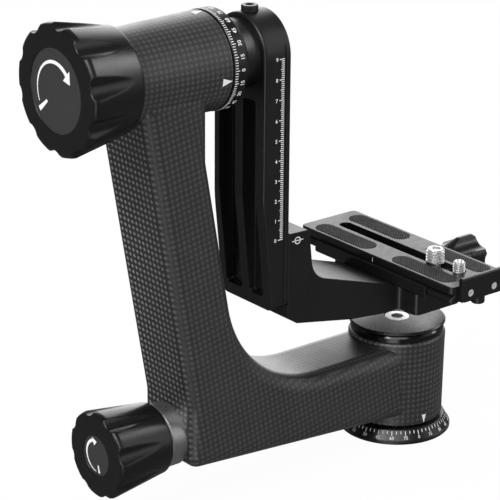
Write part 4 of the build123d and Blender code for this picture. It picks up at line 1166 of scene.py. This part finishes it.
def hexagon(across_flats: float) -> list[Flat]:
    """Corners of a hexagon, counter-clockwise."""
    return [polar(60 * corner, across_flats / math.sqrt(3)) for corner in range(6)]


def flat_on_z(x: float, y: float) -> Placer:
    """Placer of a horizontal face at a spot."""
    return FlatFace((x, y, 0.0), RIGHT, (0.0, 1.0, 0.0)).placer()


@dataclass(frozen=True)
class CameraScrew:
    """Slotted camera screw with a cut thread, from its head in the plate's recess to its dished tip."""

    node: str
    body: str
    pitch: float
    crest: float
    neck: float = 3.0
    neck_top: float = 99.15
    head_height: float = 2.2
    head_edge: float = 0.4
    slot_half: float = 0.6
    slot_depth: float = 1.2
    point: float = 0.9
    dish_radius: float = 0.6        # this and the next are shares of the crest radius
    dish_floor: float = 0.4
    dish_depth: float = 0.9
    segments: int = 72
    thread_share: float = 0.62      # thread depth as a share of the pitch

    def build(self, workshop: Workshop) -> None:
        """Makes the screw in place of its plain node.

        Args:
            workshop: the workshop that dresses nodes and adds pieces.
        """
        low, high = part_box(self.node)
        bottom, tip = low.z / MM, high.z / MM
        head_radius = (high.y - low.y) / 2 / MM
        centre_y = (high.y + low.y) / 2 / MM
        root = self.crest - self.thread_share * self.pitch
        thread = Thread(self.pitch, root, self.crest, self.neck_top, tip)
        head_top = bottom + self.head_height
        plain = [(bottom, head_radius - self.head_edge), (bottom + self.head_edge, head_radius),
                 (head_top, head_radius), (head_top, self.neck), (self.neck_top, self.neck)]
        threaded = thread.stations()
        dish = [(tip, self.dish_radius * self.crest), (tip - self.dish_depth, self.dish_floor * self.crest)]
        stations = [height for height, _ in plain] + threaded + [height for height, _ in dish]

        def radius_at(angle: float, index: int) -> float:
            """Radius at a station, cut back towards the tip.

            Args:
                angle: angle round the axis in radians.
                index: the station's index.
            Returns:
                The radius there.
            """
            if index < len(plain):
                return plain[index][1]
            if index >= len(plain) + len(threaded):
                return dish[index - len(plain) - len(threaded)][1]
            height = stations[index]
            lead_in = self.crest - self.point + (tip - height)
            return min(thread.radius(angle, height), lead_in)

        points, faces = turned_mesh(stations, radius_at, self.segments)
        piece = workshop.piece(f"{self.node}_threaded", moved(points, y=centre_y), faces, "steel", self.body,
                               "steel")
        reach = head_radius + OVERSHOOT
        slot = rectangle(-reach, reach, -self.slot_half, self.slot_half)
        carve(piece, *prism(slot, bottom - OVERSHOOT, bottom + self.slot_depth, flat_on_z(0.0, centre_y)))
        smooth_by_angle(piece, THREAD_SHARPNESS)
        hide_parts(self.node)


@dataclass
class TripodSocket:
    """Threaded steel insert in the base."""

    pitch: float = 1.5875
    depth: float = 13.0
    crest: float = 3.97
    root: float = 4.70
    mouth: float = 0.3              # how much the bore's mouth opens beyond the root
    edge: float = 0.5
    segments: int = 72

    def build(self, workshop: Workshop) -> None:
        """Makes the insert with its cut thread in place of the plain node.

        Args:
            workshop: the workshop that dresses nodes and adds pieces.
        """
        low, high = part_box("tripod_socket")
        outer, top = high.x / MM, high.z / MM
        thread = Thread(self.pitch, self.root, self.crest, 0.0, self.depth)
        bore = list(reversed(thread.stations()))
        outside = [(0.0, outer - self.edge), (self.edge, outer), (top, outer)]

        def radius_at(angle: float, index: int) -> float:
            """Radius down the bore, opened at its mouth, then up the outside.

            Args:
                angle: angle round the axis in radians.
                index: the station's index.
            Returns:
                The radius there.
            """
            if index >= len(bore):
                return outside[index - len(bore)][1]
            return max(thread.radius(angle, bore[index]), self.root + self.mouth - bore[index])

        points, faces = turned_mesh(bore + [height for height, _ in outside], radius_at, self.segments)
        piece = workshop.piece("tripod_socket_threaded", points, faces, "steel", "pan_base", "steel")
        smooth_by_angle(piece, THREAD_SHARPNESS)
        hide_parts("tripod_socket")


# ---- sub-assemblies -----------------------------------------------------------------------------------
def restarted(degrees: int) -> int:
    """Label on a dial that starts again every ninety degrees."""
    return degrees % 90


def folded(degrees: int) -> int:
    """Label on a dial that runs from 0 to 90 and back again."""
    return min(degrees % 180, 180 - degrees % 180)


@dataclass
class PanBase:
    """Graduated base with its screws, spindle and threaded socket."""

    rim_height: float = 1.8
    skirt_top: float = 7.2
    skirt_bottom_radius: float = 29.15
    skirt_top_radius: float = 26.3
    skirt_foot: tuple[float, float] = (0.2, 0.25)       # rise above the rim and inset where the cone starts
    skirt_shoulder: float = 0.3                         # how far below the skirt's top the cone ends
    ink_step: float = 1.0
    scale: DialScale = DialScale(ticks=72, tick_top=6.75, tick_lengths=(1.5, 2.3), tick_width=0.42,
                                 number_height=1.75, number_station=3.35, label=restarted, zero_turn=-104.4)
    nodes: tuple[str, ...] = ("pan_spindle", "base_screws")

    def build(self, workshop: Workshop) -> None:
        """Dresses the nodes and prints the pan scale.

        Args:
            workshop: the workshop that dresses nodes and adds pieces.
        """
        workshop.dress(("pan_base",), "black_turned_pan")
        workshop.dress(self.nodes)
        TripodSocket().build(workshop)
        rise, inset = self.skirt_foot
        face = TurnedFace(Spin.PAN, self.rim_height + rise, self.skirt_bottom_radius - inset,
                          self.skirt_top - self.skirt_shoulder, self.skirt_top_radius)
        ink = Ink(self.ink_step)
        self.scale.draw(ink, face)
        ink.piece(workshop, "pan_scale_print", "pan_base", "black_anodised")


@dataclass
class PanArm:
    """Moulded carbon arm with its cap, bearings, lock collar and index marks."""

    nodes: tuple[str, ...] = ("pan_arm", "pan_inner_races", "pan_outer_races", "pan_balls", "pan_ball_cages",
                              "pan_cap_seal", "pan_cap_bolt", "lock_collar", "rod_guide_bush",
                              "tilt_outer_races", "tilt_inner_races", "tilt_balls", "tilt_ball_cages")
    boss_radii: tuple[float, float] = (24.8, 25.3)
    boss_heights: tuple[float, float] = (9.0, 53.4)
    housing_radii: tuple[float, float] = (22.9, 24.0)
    housing_stations: tuple[float, float] = (-177.6, -128.6)
    ink_step: float = 0.7
    pan_index_turn: float = -94.1
    pan_index: tuple[float, float] = (2.6, 4.6)
    tilt_index_turns: tuple[float, ...] = (-10.4, 88.0)
    tilt_index: tuple[float, float] = (3.9, 5.4)

    def build(self, workshop: Workshop) -> None:
        """Dresses the arm and prints its three index marks.

        Args:
            workshop: the workshop that dresses nodes and adds pieces.
        """
        workshop.dress(self.nodes)
        workshop.dress(("pan_cap",), "black_turned_pan")
        foot, shoulder = self.boss_heights
        outer, inner = self.housing_stations
        boss = TurnedFace(Spin.PAN, foot, self.boss_radii[0], shoulder, self.boss_radii[1])
        housing = TurnedFace(Spin.TILT, outer, self.housing_radii[0], inner, self.housing_radii[1])
        ink = Ink(self.ink_step)
        ink.outline(self.triangle(*self.pan_index), boss.placer(self.pan_index_turn, foot))
        for turn in self.tilt_index_turns:
            ink.outline(self.triangle(*self.tilt_index), housing.placer(turn, inner))
        ink.piece(workshop, "arm_index_print", "pan_arm", "carbon")

    @staticmethod
    def triangle(width: float, height: float) -> list[Flat]:
        """Triangle that stands on its tip."""
        return [(0.0, 0.0), (width / 2, height), (-width / 2, height)]


@dataclass
class KnobArrow:
    """Curved arrow printed on a knob's inlay: it thins from its head to a cross bar at its tail."""

    head_turn: float
    tail_turn: float
    head_radii: tuple[float, float]
    tail_radii: tuple[float, float]
    tip_turn: float
    barb_radii: tuple[float, float]
    bar_turns: tuple[float, float]
    bar_radii: tuple[float, float]
    steps: int = 40

    def draw(self, ink: Ink, place: Placer) -> None:
        """Adds arc, head and cross bar.

        Args:
            ink: the ink that the marks go into.
            place: the placer of the inlay's face.
        """
        rows = []
        for step in range(self.steps + 1):
            share = step / self.steps
            turn = self.head_turn + (self.tail_turn - self.head_turn) * share
            rows.append([polar(turn, head + (tail - head) * share)
                         for head, tail in zip(self.head_radii, self.tail_radii)])
        ink.band(rows, place)
        inner_barb, outer_barb = (polar(self.head_turn, radius) for radius in self.barb_radii)
        tip = polar(self.tip_turn, sum(self.barb_radii) / 2)
        ink.outline([inner_barb, tip, outer_barb], place)
        early, late = self.bar_turns
        inner, outer = self.bar_radii
        ink.outline([polar(early, inner), polar(early, outer), polar(late, outer), polar(late, inner)], place)


@dataclass
class LockKnob:
    """Fluted lock knob with its inlay, rod or nut, and printed arrow."""

    body: str
    inlay: str
    nodes: tuple[str, ...]
    axis_z: float
    arrow: KnobArrow

    def build(self, workshop: Workshop) -> None:
        """Dresses the knob and prints the arrow on its inlay.

        Args:
            workshop: the workshop that dresses nodes and adds pieces.
        """
        workshop.dress(self.nodes + (self.inlay,))
        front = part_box(self.inlay)[0].x / MM
        face = FlatFace((front, 0.0, self.axis_z), FORWARD, UP)
        ink = Ink()
        self.arrow.draw(ink, face.placer())
        ink.piece(workshop, f"{self.inlay}_arrow", self.body, "inlay_grey")


@dataclass
class TiltDrive:
    """Tilt shaft, brake, hub and graduated dial that turn with the swing arm."""

    nodes: tuple[str, ...] = ("tilt_shaft", "friction_disc", "hub_bolt", "hub_screws")
    turned: tuple[str, ...] = ("tilt_dial", "tilt_hub")
    radius: float = 24.2
    outer_x: float = -127.5
    inner_x: float = -120.2
    ink_step: float = 1.0
    scale: DialScale = DialScale(ticks=120, tick_top=-127.05, tick_lengths=(1.5, 2.2), tick_width=0.4,
                                 number_height=2.1, number_station=-122.6, label=folded)

    def build(self, workshop: Workshop) -> None:
        """Dresses the nodes and prints the tilt scale.

        Args:
            workshop: the workshop that dresses nodes and adds pieces.
        """
        workshop.dress(self.nodes)
        workshop.dress(self.turned, "black_turned_tilt")
        ink = Ink(self.ink_step)
        self.scale.draw(ink, TurnedFace(Spin.TILT, self.outer_x, self.radius, self.inner_x, self.radius))
        ink.piece(workshop, "tilt_scale_print", "swing_arm", "black_anodised")


@dataclass
class SwingArm:
    """Swing arm with its height scale and knurled end screw."""

    face_y: float = -19.5
    scale_zero: float = 130.3
    number_pitch: float = 10.0
    numbers: int = 10
    ticks_per_number: int = 10
    tick_end_x: float = -94.4
    tick_lengths: tuple[float, float, float] = (1.7, 2.2, 2.9)
    tick_width: float = 0.42
    number_x: float = -98.9
    number_height: float = 1.9
    screw_x: float = -100.0
    screw_shank: float = 2.5
    screw_head: float = 3.5
    screw_edge: float = 0.45
    knurl_teeth: int = 30
    knurl_samples: int = 4          # points round each tooth
    knurl_depth: float = 0.28
    hexagon_size: float = 4.0
    hexagon_depth: float = 2.0

    def build(self, workshop: Workshop) -> None:
        """Dresses the arm, prints its scale and makes the end screw.

        Args:
            workshop: the workshop that dresses nodes and adds pieces.
        """
        workshop.dress(("swing_arm",))
        face = FlatFace((0.0, self.face_y, 0.0), RIGHT, UP)
        ink = Ink()
        half = self.tick_width / 2
        for tick in range((self.numbers - 1) * self.ticks_per_number + 1):
            rank = sum(tick % step == 0 for step in (self.ticks_per_number, self.ticks_per_number // 2))
            height = self.scale_zero + tick * self.number_pitch / self.ticks_per_number
            ink.outline(rectangle(-self.tick_lengths[rank], 0.0, -half, half),
                        face.placer(self.tick_end_x, height))
        for number in range(self.numbers):
            height = self.scale_zero + number * self.number_pitch
            ink.number(str(number), self.number_height, face.placer(self.number_x, height))
        ink.piece(workshop, "height_scale_print", "swing_arm", "black_anodised")
        self.end_screw(workshop)

    def end_screw(self, workshop: Workshop) -> None:
        """Knurled cap screw in place of the plain one.

        Args:
            workshop: the workshop that dresses nodes and adds pieces.
        """
        low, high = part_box("arm_end_screw")
        bottom, top = low.z / MM, high.z / MM
        reach = (high.y - low.y) / 2 / MM
        shank, edge = self.screw_shank, self.screw_edge
        head = top - self.screw_head
        profile = [(bottom, shank, 0.0), (head, shank, 0.0), (head, reach - edge, 0.0),
                   (head + edge, reach, self.knurl_depth), (top - edge, reach, self.knurl_depth),
                   (top, reach - edge, 0.0)]

        def radius_at(angle: float, index: int) -> float:
            """Radius with the knurl's grooves."""
            _, radius, depth = profile[index]
            return radius - depth * (1 - abs(math.sin(angle * self.knurl_teeth / 2)))

        stations = [height for height, _, _ in profile]
        points, faces = turned_mesh(stations, radius_at, self.knurl_samples * self.knurl_teeth)
        piece = workshop.piece("arm_end_screw_knurled", moved(points, x=self.screw_x), faces,
                               "blackened_steel", "swing_arm", workshop.slots["arm_end_screw"])
        socket = hexagon(self.hexagon_size)
        carve(piece, *prism(socket, top - self.hexagon_depth, top + OVERSHOOT, flat_on_z(self.screw_x, 0.0)))
        smooth_by_angle(piece, EDGE_SHARPNESS)
        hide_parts("arm_end_screw")


@dataclass
class Cradle:
    """Height cradle with its gib, rear knob, clamp and index mark."""

    nodes: tuple[str, ...] = ("cradle_bracket", "cradle_gib", "cradle_lock_knob", "cradle_lock_screw",
                              "clamp_bed", "bed_screws", "clamp_guide_pins", "clamp_screw", "clamp_knob")
    face_y: float = -19.5
    index_x: float = -84.9
    index_z: float = 127.5
    circle_radius: float = 1.9
    circle_width: float = 0.45
    circle_steps: int = 36
    line_length: float = 7.0
    line_width: float = 0.4
    jaw_body_half: float = 34.5     # deep middle of the clamp jaw, which holds its screw and pins
    jaw_end_bottom: float = 84.0
    jaw_ramp: float = 1.5

    def build(self, workshop: Workshop) -> None:
        """Dresses the nodes, relieves the jaw and prints the index.

        Args:
            workshop: the workshop that dresses nodes and adds pieces.
        """
        workshop.dress(self.nodes)
        self.clamp_jaw(workshop)
        face = FlatFace((0.0, self.face_y, 0.0), RIGHT, UP)
        place = face.placer(self.index_x, self.index_z)
        ink = Ink()
        radii = (self.circle_radius - self.circle_width, self.circle_radius)
        turns = (360 * step / self.circle_steps for step in range(self.circle_steps + 1))
        ink.band([[polar(turn, radius) for radius in radii] for turn in turns], place)
        half, line = self.line_length / 2, self.line_width / 2
        ink.outline(rectangle(-half, half, -line, line), place)
        ink.piece(workshop, "cradle_index_print", "cradle", "black_anodised")

    def clamp_jaw(self, workshop: Workshop) -> None:
        """Clamp jaw whose ends are relieved below the plate's foot.

        Args:
            workshop: the workshop that dresses nodes and adds pieces.
        """
        node = workshop.nodes["clamp_jaw"]
        mesh = node.data.copy()
        mesh.transform(node.matrix_world)
        mesh.materials.clear()
        finish = workshop.slots["clamp_jaw"]
        mesh.materials.append(workshop.material(finish))
        piece = placed("relieved_clamp_jaw", mesh)
        low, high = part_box("clamp_jaw")
        near, far = self.jaw_body_half, high.y / MM + OVERSHOOT
        bottom, top = low.z / MM - OVERSHOOT, self.jaw_end_bottom
        outline = [(near, bottom), (far, bottom), (far, top), (near + self.jaw_ramp, top),
                   (near, top - self.jaw_ramp)]
        for way in (-1, 1):
            start, stop = sorted(way * end.x / MM for end in (low, high))
            place = FlatFace(ORIGIN, (0.0, way, 0.0), UP).placer()
            carve(piece, *prism(outline, start - OVERSHOOT, stop + OVERSHOOT, place))
        smooth_by_angle(piece, EDGE_SHARPNESS)
        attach(piece, "clamp_jaw")
        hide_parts("clamp_jaw")


@dataclass
class CameraPlate:
    """Camera plate with its lip, screws, ribbed pads and centre mark."""

    nodes: tuple[str, ...] = ("plate_lip", "stop_screws", "large_screw_washer", "small_screw_washer")
    top: float = 99.0
    plate_y: float = -1.4
    pad_x: float = 11.6
    pad_y: float = 30.0
    pad_length: float = 43.0
    pad_width: float = 10.4
    pad_sink: float = 0.9
    pad_proud: float = 0.35
    rib_pitch: float = 1.15
    rib_depth: float = 0.32
    rib_samples: int = 5
    thinnest_rib: float = 0.02      # reach inside the outline from which a rib is made
    chord_samples: int = 400
    chord_search: float = 1.5       # searched run as a share of the pad's length
    chord_halvings: int = 40
    mark_x: float = -19.0
    mark_y: float = -0.8
    mark_heights: tuple[float, float] = (95.4, 97.6)
    mark_width: float = 0.45
    screws: tuple[CameraScrew, ...] = (
        CameraScrew("large_camera_screw", "large_screw", pitch=1.5875, crest=4.7625),
        CameraScrew("small_camera_screw", "small_screw", pitch=1.27, crest=3.175),
    )

    def build(self, workshop: Workshop) -> None:
        """Dresses the plate and makes pads, screws and centre mark.

        Args:
            workshop: the workshop that dresses nodes and adds pieces.
        """
        workshop.dress(self.nodes)
        workshop.dress(("camera_plate",), "black_anodised")
        workshop.dress(("lip_screws",), "satin_steel")
        for screw in self.screws:
            screw.build(workshop)
        self.pads(workshop)
        face = FlatFace((self.mark_x, self.mark_y, 0.0), FORWARD, UP)
        ink = Ink()
        low, high = self.mark_heights
        ink.bar(self.mark_width, high - low, face.placer(0.0, low))
        ink.piece(workshop, "plate_centre_print", "camera_plate", "black_anodised")

    @staticmethod
    def across_rib(run: float, offset: float) -> Flat:
        """Place on a pad of a run along the ribs' diagonal and an offset across it."""
        return ((run + offset) * DIAGONAL, (run - offset) * DIAGONAL)

    def chord(self, offset: float) -> Optional[tuple[float, float]]:
        """Run of a diagonal rib inside the pad's outline.

        Args:
            offset: the rib's distance from the pad's centre.
        Returns:
            Start and end along the diagonal, or None outside the pad.
        """
        radius = self.pad_width / 2
        straight = self.pad_length / 2 - radius

        def outside(run: float) -> float:
            """Distance to the outline, negative inside."""
            x, y = self.across_rib(run, offset)
            return math.hypot(x, max(0.0, abs(y) - straight)) - radius

        shares = (step / self.chord_samples - 0.5 for step in range(self.chord_samples + 1))
        centre = min((self.pad_length * share * self.chord_search for share in shares), key=outside)
        if outside(centre) >= -self.thinnest_rib:
            return None
        ends = []
        for way in (-1, 1):
            near, far = centre, centre + way * self.pad_length
            for _ in range(self.chord_halvings):
                middle = (near + far) / 2
                near, far = (middle, far) if outside(middle) < 0 else (near, middle)
            ends.append(near)
        return ends[0], ends[1]

    def pads(self, workshop: Workshop) -> None:
        """Four pads with diagonal ribs in place of the plain ones.

        Args:
            workshop: the workshop that dresses nodes and adds pieces.
        """
        vertices: list[Point] = []
        faces: list[list[int]] = []
        for x in (-self.pad_x, self.pad_x):
            for y in (-self.pad_y, self.pad_y):
                self.pad(vertices, faces, x, self.plate_y + y)
        piece = workshop.piece("ribbed_plate_pads", vertices, faces, "rubber", "camera_plate", "rubber")
        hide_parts("plate_pads")

    def pad(self, vertices: list[Point], faces: list[list[int]], x: float, y: float) -> None:
        """Adds one ribbed pad's closed solid to the lists.

        Args:
            vertices: the points so far.
            faces: the faces so far.
            x: the pad's centre.
            y: the pad's centre.
        """
        step = self.rib_pitch / self.rib_samples
        count = math.ceil(self.pad_length / step)
        bottom = self.top - self.pad_sink
        rows = []
        for sample in range(-count, count + 1):
            offset = sample * step
            chord = self.chord(offset)
            if chord is None:
                continue
            rise = 0.5 + 0.5 * math.cos(FULL_TURN * offset / self.rib_pitch)
            top = self.top + self.pad_proud - self.rib_depth * (1 - rise)
            first, last = ((x + right, y + up)
                           for right, up in (self.across_rib(run, offset) for run in chord))
            rows.append([(*last, bottom), (*last, top), (*first, top), (*first, bottom)])
        base = len(vertices)
        for row in rows:
            vertices.extend(row)
        for face in tube_faces(len(rows), len(rows[0])):
            faces.append([base + corner for corner in face])


# ---- studio -------------------------------------------------------------------------------------------
@dataclass(frozen=True)
class SoftLight:
    """Square soft box aimed at a point."""

    name: str
    place: Point
    aim: Point
    size: float
    power: float
    mirrored: bool = True

    def build(self) -> None:
        """Adds the lamp."""
        lamp = bpy.data.lights.new(self.name, "AREA")
        lamp.size = self.size
        lamp.energy = self.power
        holder = placed(self.name, lamp)
        holder.location = self.place
        holder.rotation_euler = (Vector(self.aim) - Vector(self.place)).to_track_quat("-Z", "Y").to_euler()
        holder.visible_glossy = self.mirrored


@dataclass(frozen=True)
class MirroredBox:
    """Soft box that only mirroring faces show: its way, the cosines at its edge, and its brightness."""

    way: Point
    outer: float
    inner: float
    level: float


@dataclass
class Studio:
    """White sweep, soft light and the camera. Its places are in metres."""

    azimuth: float = -38.817
    elevation: float = 20.634
    roll: float = 0.414
    lens: float = 167.3
    sensor: float = 36.0
    near_clip: float = 0.05
    camera_place: Point = (-0.7631, -0.8258, 0.5190)
    ambient: float = 0.55
    floor_size: float = 12.0
    floor_tone: float = 0.82
    floor_white: float = 0.97
    dark_level: float = 0.13
    sweep_way: Point = (0.62, 0.745, 0.25)
    sweep_edge: tuple[float, float] = (0.80, 1.0)
    sweep_level: float = 2.6
    boxes: tuple[MirroredBox, ...] = (
        MirroredBox(way=(-0.76, -0.61, -0.22), outer=0.94, inner=0.98, level=2.2),
        MirroredBox(way=(0.60, -0.66, 0.20), outer=0.80, inner=0.97, level=1.2),
        MirroredBox(way=(-0.51, -0.635, 0.578), outer=0.86, inner=0.99, level=3.0),
    )
    lights: tuple[SoftLight, ...] = (
        SoftLight("key", place=(-1.56, -0.4, 1.3), aim=(-0.08, 0.0, 0.12), size=0.8, power=19.0),
        SoftLight("side", place=(1.4, -0.5, 0.9), aim=(-0.05, 0.0, 0.1), size=0.7, power=7.0),
        SoftLight("overhead", place=(0.0, 0.5, 1.9), aim=(-0.05, 0.0, 0.1), size=1.2, power=14.0,
                  mirrored=False),
    )

    def build(self) -> None:
        """Makes world, floor, lamps and camera."""
        self.world()
        self.floor()
        for light in self.lights:
            light.build()
        self.camera()

    def world(self) -> None:
        """White backdrop, even soft light, and a studio that polished faces mirror."""
        world = bpy.data.worlds.new("studio")
        bpy.context.scene.world = world
        graph = fresh_graph(world)
        path = graph.node("ShaderNodeLightPath").outputs
        light = self.background(graph, self.ambient)
        mirrored = self.background(graph, self.mirrored(graph))
        backdrop = self.background(graph, 1.0)
        gloss = graph.math("MAXIMUM", path["Is Glossy Ray"], path["Is Transmission Ray"])
        lit = self.mixed(graph, gloss, light, mirrored)
        shown = self.mixed(graph, path["Is Camera Ray"], lit, backdrop)
        graph.feed(graph.node("ShaderNodeOutputWorld").inputs["Surface"], shown)

    @staticmethod
    def background(graph: Graph, strength: Value) -> bpy.types.NodeSocket:
        """White background of a given strength.

        Args:
            graph: the graph that gets the nodes.
            strength: its strength.
        Returns:
            The shader.
        """
        made = graph.node("ShaderNodeBackground")
        made.inputs["Color"].default_value = grey(1.0)
        graph.feed(made.inputs["Strength"], strength)
        return made.outputs[0]

    @staticmethod
    def mixed(graph: Graph, share: Value, low: Value, high: Value) -> bpy.types.NodeSocket:
        """Mix of two shaders.

        Args:
            graph: the graph that gets the nodes.
            share: 0 for the first shader, 1 for the second.
            low: the first shader.
            high: the second shader.
        Returns:
            The shader.
        """
        made = graph.node("ShaderNodeMixShader")
        for socket, value in zip(made.inputs, (share, low, high)):
            graph.feed(socket, value)
        return made.outputs[0]

    def mirrored(self, graph: Graph) -> bpy.types.NodeSocket:
        """Brightness of the studio in each direction: a white rear sweep, a dark front and soft boxes.

        Args:
            graph: the world's graph.
        Returns:
            The brightness.
        """
        way = graph.node("ShaderNodeTexCoord").outputs["Generated"]
        to_sweep = graph.rise(graph.vector("DOT_PRODUCT", way, self.sweep_way), *self.sweep_edge)
        brightness = graph.spread(to_sweep, self.dark_level, self.sweep_level)
        for box in self.boxes:
            to_box = graph.rise(graph.vector("DOT_PRODUCT", way, box.way), box.outer, box.inner)
            brightness = graph.math("MULTIPLY_ADD", to_box, box.level, brightness)
        return brightness

    def floor(self) -> None:
        """Pale floor that keeps a soft shadow."""
        half = self.floor_size / 2
        corners = [(x, y, 0.0) for x, y in rectangle(-half, half, -half, half)]
        mesh = bpy.data.meshes.new("floor")
        mesh.from_pydata(corners, [], [range(len(corners))])
        material = bpy.data.materials.new("floor")
        graph = fresh_graph(material)
        paper = graph.node("ShaderNodeBsdfDiffuse")
        paper.inputs["Color"].default_value = grey(self.floor_tone)
        glow = graph.node("ShaderNodeEmission")
        glow.inputs["Color"].default_value = grey(1.0)
        seen = graph.node("ShaderNodeLightPath").outputs["Is Camera Ray"]
        share = graph.math("MULTIPLY", seen, self.floor_white)
        surface = self.mixed(graph, share, paper.outputs[0], glow.outputs[0])
        graph.feed(graph.node("ShaderNodeOutputMaterial").inputs["Surface"], surface)
        mesh.materials.append(material)
        floor = placed("floor", mesh)
        floor.visible_glossy = False

    def camera(self) -> None:
        """Camera with its framing's azimuth, elevation and roll."""
        turn, rise, roll = (math.radians(angle) for angle in (self.azimuth, self.elevation, self.roll))
        back = Vector((math.sin(turn) * math.cos(rise), -math.cos(turn) * math.cos(rise), math.sin(rise)))
        right = Vector((math.cos(turn), math.sin(turn), 0.0))
        up = back.cross(right)
        side = right * math.cos(roll) + up * math.sin(roll)
        top = up * math.cos(roll) - right * math.sin(roll)
        data = bpy.data.cameras.new("camera")
        data.lens = self.lens
        data.sensor_width = self.sensor
        data.clip_start = self.near_clip
        holder = placed("camera", data)
        axes = Matrix((side, top, back)).transposed().to_4x4()
        holder.matrix_world = Matrix.Translation(self.camera_place) @ axes
        bpy.context.scene.camera = holder


TILT_KNOB = LockKnob(
    body="tilt_lock_knob", inlay="tilt_lock_inlay", axis_z=TILT_AXIS_Z,
    nodes=("tilt_lock_knob", "tilt_lock_nut", "pressure_ring"),
    arrow=KnobArrow(head_turn=47.0, tail_turn=209.0, head_radii=(11.3, 13.5), tail_radii=(14.9, 15.3),
                    tip_turn=25.0, barb_radii=(8.6, 15.9), bar_turns=(-144.0, -136.0),
                    bar_radii=(9.2, 17.4)))
PAN_KNOB = LockKnob(
    body="pan_lock_knob", inlay="pan_lock_inlay", axis_z=LOCK_AXIS_Z,
    nodes=("pan_lock_knob", "pan_lock_rod", "pan_brake_pad"),
    arrow=KnobArrow(head_turn=112.0, tail_turn=267.0, head_radii=(6.8, 8.4), tail_radii=(8.2, 8.6),
                    tip_turn=88.0, barb_radii=(5.0, 9.3), bar_turns=(-80.0, -71.0), bar_radii=(4.9, 8.8)))


def main() -> None:
    """Builds the studio and every sub-assembly around the frame."""
    logging.basicConfig(level=logging.INFO, format="%(message)s")
    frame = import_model()
    bpy.context.scene.view_settings.view_transform = "Standard"
    Studio().build()
    workshop = Workshop(frame)
    for part in (PanBase(), PanArm(), TILT_KNOB, PAN_KNOB, TiltDrive(), SwingArm(), Cradle(), CameraPlate()):
        part.build(workshop)


if __name__ == "__main__":
    main()
